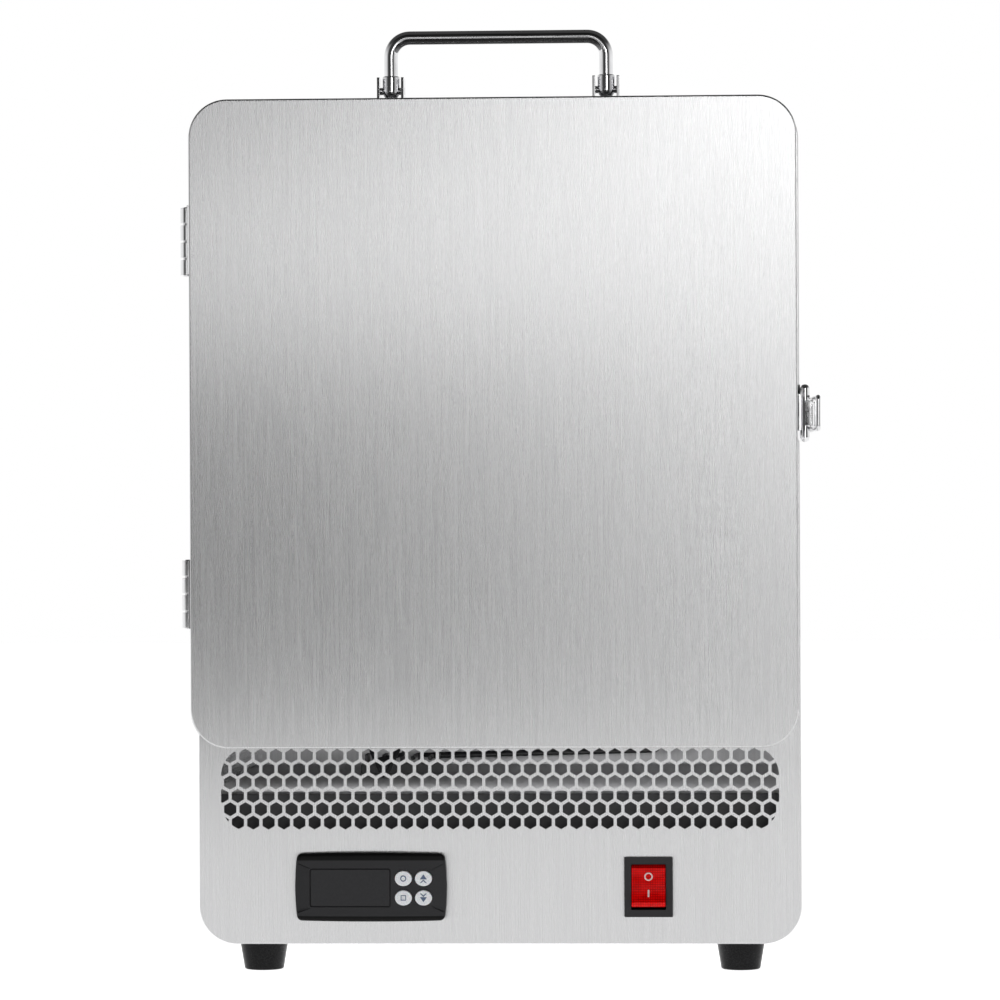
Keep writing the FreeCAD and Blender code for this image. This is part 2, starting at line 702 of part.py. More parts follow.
def make_handle(wrap_holes, cabinet_rivets):
    """A bail of round rod that folds flat between two upright brackets."""
    body = new_body("BailRod")
    path = new_sketch(body, "BailPath", "front", "0", "0", "0")
    vector = FreeCAD.Vector
    half, rise, bend = 60.0, 30.0, 10.0
    left_centre = vector(-half + bend, rise - bend, 0)
    right_centre = vector(half - bend, rise - bend, 0)
    path.addGeometry([
        Part.LineSegment(vector(-half, 0, 0), vector(-half, rise - bend, 0)),
        Part.ArcOfCircle(Part.Circle(left_centre, Z_AXIS, bend), math.pi / 2, math.pi),
        Part.LineSegment(vector(-half + bend, rise, 0), vector(half - bend, rise, 0)),
        Part.ArcOfCircle(Part.Circle(right_centre, Z_AXIS, bend), 0, math.pi / 2),
        Part.LineSegment(vector(half, rise - bend, 0), vector(half, 0, 0)),
    ], False)
    rule = Sketcher.Constraint
    path.addConstraint([
        rule("Vertical", 0), rule("Horizontal", 2), rule("Vertical", 4),
        rule("Tangent", 0, 2, 1, 2), rule("Tangent", 1, 1, 2, 1),
        rule("Tangent", 2, 2, 3, 2), rule("Tangent", 3, 1, 4, 1),
        rule("Equal", 1, 3), rule("PointOnObject", 0, 1, -1), rule("Symmetric", 0, 1, 4, 2, -2),
    ])
    dimensions = [
        (rule("DistanceX", 0, 1, 4, 2, 2 * half), "handle_spacing"),
        (rule("DistanceY", 0, 1, 2, 1, rise), "handle_reach"),
        (rule("Radius", 1, bend), "handle_bend"),
    ]
    for dimension, text in dimensions:
        index = path.addConstraint(dimension)
        path.setExpression("Constraints[%d]" % index, formula(text))
    profile = new_sketch(body, "BailSection", "top", "-handle_spacing / 2", "0", "0")
    profile.addGeometry(Part.Circle(vector(0, 0, 0), Z_AXIS, 3), False)
    profile.addConstraint(rule("Coincident", 0, 3, -1, 1))
    index = profile.addConstraint(rule("Radius", 0, 3.0))
    profile.setExpression("Constraints[%d]" % index, formula("handle_rod"))
    rod = body.newObject("PartDesign::AdditivePipe", "BailPipe")
    rod.Profile = profile
    rod.Spine = path
    place(body, "handle_centre", "handle_depth", "handle_pivot")

    eyes = []
    bores = []
    brackets = []
    pins = []
    for across, side in ((LEFT, "left"), (RIGHT, "right")):
        title = side.title()
        centre = "handle_centre + %d * handle_spacing / 2" % across
        eyes.append(cylinder("BailSleeve" + title, "handle_sleeve", "8", "z", centre, "handle_depth",
                             "handle_pivot"))
        ball = doc.addObject("Part::Sphere", "BailEnd" + title)
        bind(ball, {"Radius": "handle_sleeve"})
        place(ball, centre, "handle_depth", "handle_pivot")
        eyes.append(ball)
        bores.append(cylinder("BailBore" + title, "pivot_pin_radius + running_gap", "12", "x",
                              centre + " - 6", "handle_depth", "handle_pivot"))
        base = rounded_slab("BracketBase" + title, "top", about(centre, "bracket_width"),
                            about("handle_depth", "36"), (BODY_TOP, BODY_TOP + " + bracket_gauge"), "4")
        ears = []
        for number, edge in enumerate((-1, 1)):
            ear = about("%s + %d * (bracket_width - bracket_gauge) / 2" % (centre, edge), "bracket_gauge")
            ears.append(rounded_slab("BracketEar%s%d" % (title, number), "side",
                                     about("handle_depth", "15"), (BODY_TOP, "bracket_top"), ear, "0.4"))
        pin = cylinder("BracketPin" + title, "pivot_pin_radius", "bracket_width", "x",
                       centre + " - bracket_width / 2", "handle_depth", "handle_pivot")
        pins.append(pin)
        shanks = []
        for number, y in enumerate(("handle_depth - 12.5", "handle_depth + 12.5")):
            rivet, shank = fixing("BracketRivet%s%d" % (title, number), "z", 1, centre, y,
                                  BODY_TOP + " + bracket_gauge", head="3", shank="1.6", grip="4",
                                  height="1.2")
            cabinet_rivets.append(rivet)
            shanks.append(shank)
        wrap_holes.extend(shanks)
        bracket = cut("Bracket" + title, fuse("BracketSolid" + title, [base] + ears), shanks + [pin])
        brackets.append(bracket)
    node("handle_brackets", group("HandleBrackets", brackets))
    node("handle_pivot_pins", group("HandlePins", pins))
    node("handle_bail", cut("HandleBail", fuse("BailWithEyes", [body] + eyes), bores))


# ---------------------------------------------------------------- controls

BEZEL_FRONT = "cabinet_front - bezel_depth"
BUTTONS = {"button_u": (0, 1), "button_up": (1, 1), "button_p": (0, 0), "button_down": (1, 0)}


def make_controller():
    face_x = about("controller_x", "controller_width")
    face_z = about("controller_z", "controller_height")
    bezel = new_body("BezelPlate")
    rounded_pad(bezel, "BezelPad", "front", face_x, face_z, (BEZEL_FRONT, "cabinet_front"), "2.5")
    window_x = about("controller_x - 10.7", "42.4")
    window_z = about("controller_z - 0.3", "20.2")
    rounded_pocket(bezel, "WindowRecess", "front", window_x, window_z,
                   (BEZEL_FRONT, BEZEL_FRONT + " + 1.6"), "1.5")
    for name, (column, row) in BUTTONS.items():
        x = "controller_x + 17.2 + %d * button_pitch" % column
        z = "controller_z - 5.5 + %d * button_rise" % row
        rounded_pocket(bezel, name + "_hole", "front", about(x, "button_width + 0.6"),
                       about(z, "button_height + 0.6"), (BEZEL_FRONT, "cabinet_front"),
                       "button_radius + 0.3")
        node(name, rounded_slab(name + "_cap", "front", about(x, "button_width"),
                                about(z, "button_height"),
                                (BEZEL_FRONT + " - 0.9", "cabinet_front - 1"), "button_radius"))
    node("controller_bezel", bezel)
    node("display_window", rounded_slab("WindowPlate", "front", window_x, window_z,
                                        (BEZEL_FRONT + " + 0.5", BEZEL_FRONT + " + 1.6"), "1.5"))
    case = rounded_slab("CaseBlock", "front", about("controller_x", "case_width - 0.4"),
                        about("controller_z", "case_height - 0.4"),
                        ("cabinet_front", "cabinet_front + case_depth"), "1")
    ribs = [block("CaseSlot%d" % number, about("controller_x + %d" % (-24 + 12 * number), "5"),
                  ("cabinet_front + 30", "cabinet_front + 52"), ("controller_z + 13", "controller_z + 16"))
            for number in range(5)]
    node("controller_case", cut("ControllerCase", case, ribs))
    clips = []
    for across, name in ((LEFT, "Left"), (RIGHT, "Right")):
        edge = "controller_x + %d * (case_width / 2 + 1.8)" % across
        clips.append(block("ControllerClip" + name, about(edge, "3.6"),
                           ("cabinet_front + sheet_gauge", "cabinet_front + 30"),
                           about("controller_z", "14")))
    node("controller_clips", group("ControllerClips", clips))


def make_rocker():
    """The switch: a housing in the fascia, and a cap that rocks about a pivot behind its face."""
    housing_x = about("rocker_x", "25.3")
    housing_z = about("rocker_z", "31.3")
    housing = new_body("RockerHousing")
    rounded_pad(housing, "RockerFlange", "front", housing_x, housing_z,
                ("cabinet_front - 2.6", "cabinet_front"), "0.6")
    rounded_pad(housing, "RockerBarrel", "front", about("rocker_x", "rocker_width + 4.4"),
                about("rocker_z", "27.6"), ("cabinet_front", "-108"), "1")
    rounded_pocket(housing, "RockerWell", "front", about("rocker_x", "rocker_width + 0.6"),
                   about("rocker_z", "23.7"), ("cabinet_front - 2.6", "-112"), "0.5")
    socket = cylinder("RockerSocket", "1.5 + running_gap", "rocker_width + 3.2", "x",
                      "rocker_x - rocker_width / 2 - 1.6", "rocker_pivot", "rocker_z")
    node("rocker_housing", cut("RockerBody", housing, [socket]))

    half = SIZES["rocker_width"] / 2
    front = [(-5.2, 11.1), (-7.6, 9.0), (-5.6, 0), (-7.6, -9.0), (-5.2, -11.1)]
    outline = front + [(-1.0, -10.2), (4.0, -5.0), (4.0, 5.0), (-1.0, 10.2)]
    corners = [FreeCAD.Vector(-half, y, z) for y, z in outline]
    face = Part.Face(Part.makePolygon(corners + corners[:1]))
    cap = face.extrude(FreeCAD.Vector(2 * half, 0, 0))
    pivot = Part.makeCylinder(1.5, 2 * half + 2.8, FreeCAD.Vector(-half - 1.4, 0, 0), X_AXIS)
    item = shaped("RockerCap", cap.fuse(pivot))
    item.Placement = FreeCAD.Placement(
        FreeCAD.Vector(SIZES["rocker_x"], SIZES["rocker_pivot"], SIZES["rocker_z"]),
        FreeCAD.Rotation(X_AXIS, -ROCKER_TILT))
    node("rocker_cap", item)
    blades = [block("RockerBlade%d" % number, about("rocker_x", "6.3"), ("-108", "-98"),
                    about("rocker_z + %d" % (9 - 9 * number), "0.8"))
              for number in range(3)]
    node("rocker_terminals", group("RockerTerminals", blades))


# ---------------------------------------------------------------- air and heat

def make_fan():
    frame = rounded_slab("FanBlock", "top", about("fan_x", "fan_size"), about("fan_y", "fan_size"),
                         ("fan_bottom", "fan_top"), "6")
    tunnel = cylinder("FanTunnel", "fan_bore", "40", "z", "fan_x", "fan_y", "fan_bottom - 5")
    bores = [cylinder("FanCorner%d%d" % (across + 1, along + 1), "2.2", "40", "z",
                      "fan_x + %d * 52.5" % across, "fan_y + %d * 52.5" % along, "fan_bottom - 5")
             for across in (LEFT, RIGHT) for along in (-1, 1)]
    ring = cut("FanRing", frame, [tunnel] + bores)
    motor = cylinder("FanMotor", "hub_radius", "13", "z", "fan_x", "fan_y", "fan_bottom - 7")
    arms = [block("FanArmX", about("fan_x", "2 * fan_bore + 2"), about("fan_y", "5"),
                  ("fan_bottom", "fan_bottom + 3")),
            block("FanArmY", about("fan_x", "5"), about("fan_y", "2 * fan_bore + 2"),
                  ("fan_bottom", "fan_bottom + 3"))]
    shaft = cylinder("FanShaft", "shaft_radius", "15", "z", "fan_x", "fan_y", "fan_bottom + 5")
    node("fan_frame", fuse("FanFrame", [ring, motor, shaft] + arms))

    hub = cylinder("ImpellerHub", "hub_radius", "15", "z", "fan_x", "fan_y", "fan_bottom + 7")
    blades = []
    for number in range(FAN_BLADES):
        blade = doc.addObject("Part::Box", "Blade%d" % number)
        bind(blade, {"Length": "fan_bore + 4", "Width": "30", "Height": "1.8"})
        swing = FreeCAD.Rotation(Z_AXIS, 360 / FAN_BLADES * number)
        pitch = FreeCAD.Rotation(X_AXIS, 35)
        turn = swing.multiply(pitch)
        centre = FreeCAD.Vector(SIZES["fan_x"], SIZES["fan_y"], SIZES["fan_bottom"] + 14.5)
        blade.Placement = FreeCAD.Placement(centre + turn.multVec(FreeCAD.Vector(6, -15, -0.9)), turn)
        blades.append(blade)
    sweep = cylinder("BladeSweep", "fan_bore - 1.5", "15", "z", "fan_x", "fan_y", "fan_bottom + 7")
    vanes = common("FanVanes", fuse("FanBlades", blades), sweep)
    bore = cylinder("ImpellerBore", "shaft_radius + running_gap", "30", "z", "fan_x", "fan_y",
                    "fan_bottom")
    node("fan_impeller", cut("FanImpeller", fuse("ImpellerSolid", [hub, vanes]), [bore]))

    rings = []
    for number, radius in enumerate((24, 34, 44, 54)):
        torus = doc.addObject("Part::Torus", "GuardRing%d" % number)
        bind(torus, {"Radius1": radius, "Radius2": "0.8"})
        place(torus, "fan_x", "fan_y", "fan_bottom - 1.8")
        rings.append(torus)
    spokes = [cylinder("GuardSpoke%s%d" % (axis.upper(), sign + 1), "0.8", "34", axis,
                       "fan_x" if axis == "y" else "fan_x + %d" % (23 if sign > 0 else -57),
                       "fan_y" if axis == "x" else "fan_y + %d" % (23 if sign > 0 else -57),
                       "fan_bottom - 0.8")
              for axis in ("x", "y") for sign in (-1, 1)]
    node("fan_guard", fuse("FanGuard", rings + spokes))


def make_heater():
    """A bent tubular heater between the fan and the diffuser floor, with its brackets and cut-out."""
    x, y = SIZES["fan_x"], SIZES["fan_y"]
    level = SIZES["opening_bottom"] + 7
    turns = [(-45, 62), (-45, -45), (-15, -45), (-15, 40), (15, 40), (15, -45), (45, -45), (45, 62)]
    route = [(x + across, y + along, level) for across, along in turns]
    node("heater_element", shaped("HeaterTube", tube_along(route, 3.2, 12)))
    low = "opening_bottom"
    clamps = [block("HeaterClamp%d" % number, about("fan_x", "112"), about(depth, "8"),
                    (low, "opening_bottom + 3.8"))
              for number, depth in enumerate(("fan_y - 30", "fan_y + 30"))]
    node("heater_brackets", group("HeaterBrackets", clamps))
    node("thermal_cutoff", fuse("ThermalCutoff", [
        cylinder("CutoffCan", "8", "6", "z", "50", "30", "opening_bottom"),
        block("CutoffFlange", about("50", "30"), about("30", "9"), ("opening_bottom", "opening_bottom + 1"))]))
    node("temperature_probe", cylinder("ProbeTip", "2.5", "40", "y", "100", "60", "opening_bottom + 8"))


def make_bay():
    """The lower bay: a shelf over the controls, a dark shroud in front of them, wires and the inlet."""
    inside = about("0", "body_width - 2 * sheet_gauge - 1")
    shelf = block("ShelfPlate", inside, ("-117", "cabinet_back - sheet_gauge - 1"), ("91.5", "92.7"))
    node("baffle_shelf", shelf)
    wall = block("ShroudWall", inside, ("-118.2", "-117"), ("66", "92.7"))
    foot = block("ShroudFoot", inside, ("-131", "-117"), ("66", "67.2"))
    node("controls_shroud", fuse("ControlsShroud", [wall, foot]))

    terminal = block("TerminalBase", ("-87", "-40"), ("52", "68"), ("92.7", "99"))
    studs = [block("TerminalBarrier%d" % number, about("%d" % (-84 + 10 * number), "2"), ("52", "68"),
                   ("99", "104"))
             for number in range(5)]
    node("terminal_block", fuse("TerminalBlock", [terminal] + studs))

    runs = [
        [(-79, 51, 101), (-79, 40, 101), (-60, 22, 106), (-60, 22, 114)],
        [(-69, 51, 101), (-69, 38, 101), (-66, 22, 106), (-66, 22, 114)],
        [(-59, 69, 101), (-59, 100, 101), (60, 100, 104), (60, 60, 118), (60, 60, 150)],
        [(-49, 69, 101), (-49, 90, 101), (80, 90, 104), (80, 50, 118), (80, 50, 150)],
    ]
    wires = [shaped("WireRun%d" % number, tube_along(run, 1.3, 4)) for number, run in enumerate(runs)]
    low_runs = [
        [(-67.2, -72, 45), (-67.2, 60, 45), (20, 120, 45), (60, 132, 45), (88, 132, 45)],
        [(77.8, -97.5, 54), (77.8, 40, 54), (95, 100, 50), (95, 132, 50)],
    ]
    wires += [shaped("LowRun%d" % number, tube_along(run, 1.8, 6)) for number, run in enumerate(low_runs)]
    node("wiring_harness", group("WiringHarness", wires))

    flange = rounded_slab("InletFlange", "front", about("95", "50"), about("45", "25"),
                          ("cabinet_back", "cabinet_back + 2.2"), "5")
    barrel = block("InletBarrel", about("95", "27.6"), ("cabinet_back - 22", "cabinet_back + 1"),
                   about("45", "20.6"))
    well = block("InletWell", about("95", "24"), ("cabinet_back - 18", "cabinet_back + 5"),
                 about("45", "16"))
    blades = [block("InletBlade%d" % number, about(x, "2"), ("cabinet_back - 19", "cabinet_back - 4"),
                    about(z, "4"))
              for number, (x, z) in enumerate((("88", "43"), ("95", "47"), ("102", "43")))]
    shell = cut("InletShell", fuse("InletSolid", [flange, barrel]), [well])
    node("power_inlet", fuse("PowerInlet", [shell] + blades))


def make_trays():
    """A tray: a rounded frame with parallel rods and two cross rods under them, copied to each tier."""
    body = new_body("TrayMaster")
    across = about("0", "tray_width")
    along = ("tray_front", "tray_front + tray_depth")
    rounded_pad(body, "TrayRim", "top", across, along, ("0", "4"), "9", "4")
    sketch = new_sketch(body, "RodSection", "front", "0", "0", "tray_front + tray_depth - 2")
    first = sketch.addGeometry(Part.Circle(FreeCAD.Vector(-120, 2, 0), Z_AXIS, 1.1), False)
    rule = Sketcher.Constraint
    sketch.addConstraint(rule("DistanceY", -1, 1, first, 3, 2.0))
    sketch.addConstraint(rule("Radius", first, 1.1))
    edge = sketch.addConstraint(rule("DistanceX", first, 3, -1, 1, 120.0))
    sketch.setExpression("Constraints[%d]" % edge, formula("tray_width / 2 - 15"))
    rods = body.newObject("PartDesign::Pad", "TrayRod")
    rods.Profile = sketch
    bind(rods, {"Length": "tray_depth - 4"})
    doc.recompute()
    pattern = body.newObject("PartDesign::LinearPattern", "TrayRods")
    pattern.Originals = [rods]
    pattern.Direction = (sketch, ["H_Axis"])
    bind(pattern, {"Length": "tray_width - 30"})
    pattern.Occurrences = 25
    body.Tip = pattern
    bars = [cylinder("TrayBar%d" % number, "1.3", "tray_width - 4", "x", "-tray_width / 2 + 2",
                     "tray_front + tray_depth * %s" % share, "1.3")
            for number, share in enumerate(("0.3", "0.7"))]
    master = fuse("TrayPattern", [body] + bars)
    for tier in range(TRAY_COUNT):
        tray = group("Tray%d" % (tier + 1), [master])
        place(tray, "0", "0", "tray_first + tray_pitch * %d" % tier)
        node("drying_tray_%d" % (tier + 1), tray)


# ---------------------------------------------------------------- build, check and write

def check():
    failed = [item.Name for item in doc.Objects
              if any(word in item.State for word in ("Invalid", "Error"))]
    for item in nodes:
        if item.Shape.isNull() or not item.Shape.isValid() or not item.Shape.Solids:
            failed.append(item.Label)
    if failed:
        raise SystemExit("failed: " + ", ".join(failed))


def write():
    os.makedirs("parts", exist_ok=True)
    for item in nodes:
        item.Shape.exportStep(os.path.join("parts", item.Label + ".step"))
    print("%d nodes written" % len(nodes))


def main():
    make_sheet()
    wrap_holes, cabinet_rivets, door_holes, door_rivets = [], [], [], []
    wrap = make_cabinet()
    make_rear_panel()
    make_chamber()
    make_racks()
    make_feet(wrap_holes)
    make_hinges(wrap_holes, cabinet_rivets, door_holes, door_rivets)
    make_latch(wrap_holes, cabinet_rivets, door_holes, door_rivets)
    make_handle(wrap_holes, cabinet_rivets)
    make_door(door_holes)
    make_controller()
    make_rocker()
    make_fan()
    make_heater()
    make_bay()
    make_trays()
    node("outer_wrap", cut("OuterWrap", wrap, wrap_holes))
    node("cabinet_rivets", group("CabinetRivets", cabinet_rivets))
    node("door_rivets", group("DoorRivets", door_rivets))
    doc.recompute()
    check()
    write()


main()
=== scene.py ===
import json
import math
from contextlib import contextmanager

import bmesh
import bpy
from bpy.props import FloatProperty, FloatVectorProperty, PointerProperty
from bpy.types import Operator, Panel, PropertyGroup
from mathutils import Matrix, Vector

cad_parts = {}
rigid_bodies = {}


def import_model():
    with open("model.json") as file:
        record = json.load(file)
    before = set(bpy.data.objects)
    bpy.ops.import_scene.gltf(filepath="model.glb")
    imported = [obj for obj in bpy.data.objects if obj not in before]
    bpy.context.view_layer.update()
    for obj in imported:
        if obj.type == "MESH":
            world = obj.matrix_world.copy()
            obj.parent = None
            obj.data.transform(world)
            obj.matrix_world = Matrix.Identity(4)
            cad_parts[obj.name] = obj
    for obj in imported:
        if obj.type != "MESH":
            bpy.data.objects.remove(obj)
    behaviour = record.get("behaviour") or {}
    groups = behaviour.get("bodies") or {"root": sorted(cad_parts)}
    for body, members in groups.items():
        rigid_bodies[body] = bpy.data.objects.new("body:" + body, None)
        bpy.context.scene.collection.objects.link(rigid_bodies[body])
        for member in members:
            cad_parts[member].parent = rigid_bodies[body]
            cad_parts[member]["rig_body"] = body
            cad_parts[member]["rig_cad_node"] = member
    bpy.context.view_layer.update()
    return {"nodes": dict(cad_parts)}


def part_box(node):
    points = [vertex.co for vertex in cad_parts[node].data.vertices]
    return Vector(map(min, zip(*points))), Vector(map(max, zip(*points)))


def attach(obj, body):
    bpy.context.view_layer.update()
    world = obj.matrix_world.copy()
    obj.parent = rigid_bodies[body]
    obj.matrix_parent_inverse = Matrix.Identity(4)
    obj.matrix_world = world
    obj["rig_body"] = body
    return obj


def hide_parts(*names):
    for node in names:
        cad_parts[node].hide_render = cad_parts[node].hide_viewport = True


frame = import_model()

bl_info = {
    "name": "Food Dehydrator",
    "version": (1, 0, 0),
    "blender": (4, 5, 0),
    "location": "View3D > Sidebar > Dehydrator",
    "description": "Models a steel food dehydrator round its packed CAD frame",
    "category": "Object",
}


# ------------------------------------------------------------------ sizes and colours

def distance(name, description, default):
    return FloatProperty(name=name, description=description, default=default, min=0.0, unit="LENGTH")


def colour(name, description, default):
    return FloatVectorProperty(name=name, description=description, default=default, size=3, subtype="COLOR",
                               min=0.0, max=1.0)


class DehydratorSizes(PropertyGroup):
    corner: distance("Corner radius", "Radius of the cabinet's and the door's corners", 0.020)
    gauge: distance("Sheet gauge", "Thickness of the outer sheet", 0.0008)
    door_roll: distance("Door edge roll", "Radius where the door's face turns into its flange", 0.0009)
    fascia_roll: distance("Fascia edge roll", "Radius of the cabinet's front edge", 0.0007)
    hex_pitch: distance("Grille pitch", "Distance between neighbouring hexagons", 0.00807)
    hex_flats: distance("Grille hole", "Hexagon width across its flats", 0.0064)
    rod: distance("Handle rod", "Radius of the carrying handle's rod", 0.00375)
    collar: distance("Handle collar", "Radius of the collars at the ends of the handle", 0.00485)
    cheek: distance("Controller cheek", "How far the controller's cheeks slope back", 0.0015)
    key_round: distance("Key rounding", "Radius round the top of each controller key", 0.0005)


class DehydratorColours(PropertyGroup):
    steel: colour("Brushed steel", "Colour of the outer sheet", (0.62, 0.62, 0.625))
    liner: colour("Inner steel", "Colour of the chamber and the racks", (0.56, 0.56, 0.565))
    chrome: colour("Chrome", "Colour of the handle and the latch", (0.83, 0.83, 0.84))
    black: colour("Black plastic", "Colour of the controller's bezel", (0.020, 0.020, 0.022))
    housing: colour("Switch housing", "Colour of the power switch's housing", (0.022, 0.022, 0.024))
    red: colour("Switch red", "Colour of the power switch's cap", (0.80, 0.001, 0.002))
    keys: colour("Key white", "Colour of the controller's keys", (0.88, 0.92, 0.97))
    marks: colour("Key marks", "Colour of the marks on the keys", (0.09, 0.13, 0.22))
    rubber: colour("Rubber", "Colour of the feet", (0.005, 0.005, 0.0055))
    silicone: colour("Silicone", "Colour of the door's gasket", (0.30, 0.30, 0.31))
    wool: colour("Wool", "Colour of the insulation", (0.66, 0.60, 0.42))


# ------------------------------------------------------------------ modelling by hand

def take_up(piece):
    """Make one object the only one selected, and the active one."""
    if bpy.context.object and bpy.context.object.mode != "OBJECT":
        bpy.ops.object.mode_set(mode="OBJECT")
    bpy.ops.object.select_all(action="DESELECT")
    piece.select_set(True)
    bpy.context.view_layer.objects.active = piece


def named(name):
    """Name the newest object and put its place in its mesh."""
    piece = bpy.context.object
    piece.name = name
    piece.data.name = name
    take_up(piece)
    bpy.ops.object.transform_apply(location=True, rotation=True, scale=True)
    return piece


@contextmanager
def editing(piece):
    take_up(piece)
    bpy.ops.object.mode_set(mode="EDIT")
    yield
    bpy.ops.object.mode_set(mode="OBJECT")


def pick(piece, kind, test):
    """In edit mode, select only the faces, edges or verts that pass a test."""
    bpy.ops.mesh.select_mode(type={"faces": "FACE", "edges": "EDGE", "verts": "VERT"}[kind])
    bpy.ops.mesh.select_all(action="DESELECT")
    mesh = bmesh.from_edit_mesh(piece.data)
    for item in getattr(mesh, kind):
        if test(item):
            item.select_set(True)
    bmesh.update_edit_mesh(piece.data)


def facing(direction, least=0.9):
    direction = Vector(direction)
    return lambda face: face.normal.dot(direction) > least


def along(axis):
    """A test for edges that run along an axis."""
    def test(edge):
        run = (edge.verts[1].co - edge.verts[0].co)
        return run.length > 1e-9 and abs(run.normalized()[axis]) > 0.999
    return test


def block(name, low, high):
    low, high = Vector(low), Vector(high)
    bpy.ops.object.select_all(action="DESELECT")
    bpy.ops.mesh.primitive_cube_add(size=1, location=(low + high) / 2, scale=high - low)
    return named(name)


def drum(name, radius, depth, centre, axis="z", sides=48):
    turn = {"x": (0, math.pi / 2, 0), "y": (math.pi / 2, 0, 0), "z": (0, 0, 0)}[axis]
    bpy.ops.object.select_all(action="DESELECT")
    bpy.ops.mesh.primitive_cylinder_add(vertices=sides, radius=radius, depth=depth, location=centre,
                                        rotation=turn)
    return named(name)


def rounded_block(name, low, high, axis, radius, segments=10):
    """A block whose edges along one axis are rounded."""
    piece = block(name, low, high)
    with editing(piece):
        pick(piece, "edges", along(axis))
        bpy.ops.mesh.bevel(offset=radius, segments=segments, affect="EDGES", clamp_overlap=False)
    return piece


def roll_front(piece, radius, segments=4, direction=(0, -1, 0)):
    """Round the rim of the face that points one way."""
    with editing(piece):
        pick(piece, "faces", facing(direction, 0.99))
        bpy.ops.mesh.region_to_loop()
        bpy.ops.mesh.bevel(offset=radius, segments=segments, affect="EDGES", clamp_overlap=False)


def apply_all(piece):
    take_up(piece)
    for modifier in list(piece.modifiers):
        bpy.ops.object.modifier_apply(modifier=modifier.name)


def combine(piece, tool, operation):
    """Cut, trim or add to a piece with another one, which is used up."""
    modifier = piece.modifiers.new("Combine", "BOOLEAN")
    modifier.operation = operation
    modifier.solver = "EXACT"
    modifier.object = tool
    take_up(piece)
    bpy.ops.object.modifier_apply(modifier=modifier.name)
    bpy.data.objects.remove(tool)


def cut_out(piece, *cutters):
    for cutter in cutters:
        combine(piece, cutter, "DIFFERENCE")


def joined(name, pieces):
    take_up(pieces[0])
    for piece in pieces[1:]:
        piece.select_set(True)
    if len(pieces) > 1:
        bpy.ops.object.join()
    return named(name)


def tube(name, path, radius, order=5, steps=12, rings=4):
    """A round tube along a smooth line through a list of places, closed at its ends."""
    bpy.ops.object.select_all(action="DESELECT")
    bpy.ops.curve.primitive_nurbs_path_add(location=(0, 0, 0))
    line = bpy.context.object
    spline = line.data.splines[0]
    if len(path) > len(spline.points):
        spline.points.add(len(path) - len(spline.points))
    for point, place in zip(spline.points, path):
        point.co = (*place, 1)
    spline.order_u = order
    spline.use_endpoint_u = True
    line.data.bevel_depth = radius
    line.data.bevel_resolution = rings
    line.data.resolution_u = steps
    take_up(line)
    bpy.ops.object.convert(target="MESH")
    piece = named(name)
    with editing(piece):
        bpy.ops.mesh.select_all(action="SELECT")
        bpy.ops.mesh.fill_holes(sides=0)
    return piece


def smooth(piece, angle=35):
    """Smooth shading that keeps flat faces flat."""
    take_up(piece)
    bpy.ops.object.shade_smooth_by_angle(angle=math.radians(angle))
    modifier = piece.modifiers.new("Weighted", "WEIGHTED_NORMAL")
    modifier.keep_sharp = True
    bpy.ops.object.modifier_apply(modifier=modifier.name)


def ease(piece, width, segments=2, angle=30):
    """Break the sharp edges with a small round."""
    modifier = piece.modifiers.new("Eased", "BEVEL")
    modifier.width = width
    modifier.segments = segments
    modifier.limit_method = "ANGLE"
    modifier.angle_limit = math.radians(angle)
    modifier.use_clamp_overlap = True
    take_up(piece)
    bpy.ops.object.modifier_apply(modifier=modifier.name)


def refined(name, *nodes, finish, width=0.0003, segments=2):
    """A merged copy of CAD nodes with their edges broken, which stands for them."""
    copies = []
    for node in nodes:
        take_up(frame["nodes"][node])
        bpy.ops.object.duplicate()
        twin = bpy.context.object
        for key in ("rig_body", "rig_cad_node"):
            del twin[key]
        copies.append(twin)
    piece = joined(name, copies)
    piece.parent = None
    with editing(piece):
        bpy.ops.mesh.select_all(action="SELECT")
        bpy.ops.mesh.remove_doubles(threshold=2e-6)
        bpy.ops.mesh.dissolve_limited(angle_limit=math.radians(0.6))
    if width:
        ease(piece, width, segments)
    smooth(piece)
    dress(piece, body_of(nodes[0]), finish)
    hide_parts(*nodes)
    return piece


def body_of(node):
    return frame["nodes"][node]["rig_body"]


def dress(piece, body, finish):
    """Give a piece its finish and the body that carries it."""
    piece.data.materials.clear()
    piece.data.materials.append(FINISHES[finish]())
    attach(piece, body)


def coat(finish, *nodes):
    """Give CAD nodes a finish and leave their shape alone."""
    for node in nodes:
        slots = frame["nodes"][node].material_slots
        for index in range(len(slots)):
            slots[index].material = FINISHES[finish]()


# ------------------------------------------------------------------ finishes

MADE = {}
FINISHES = {}


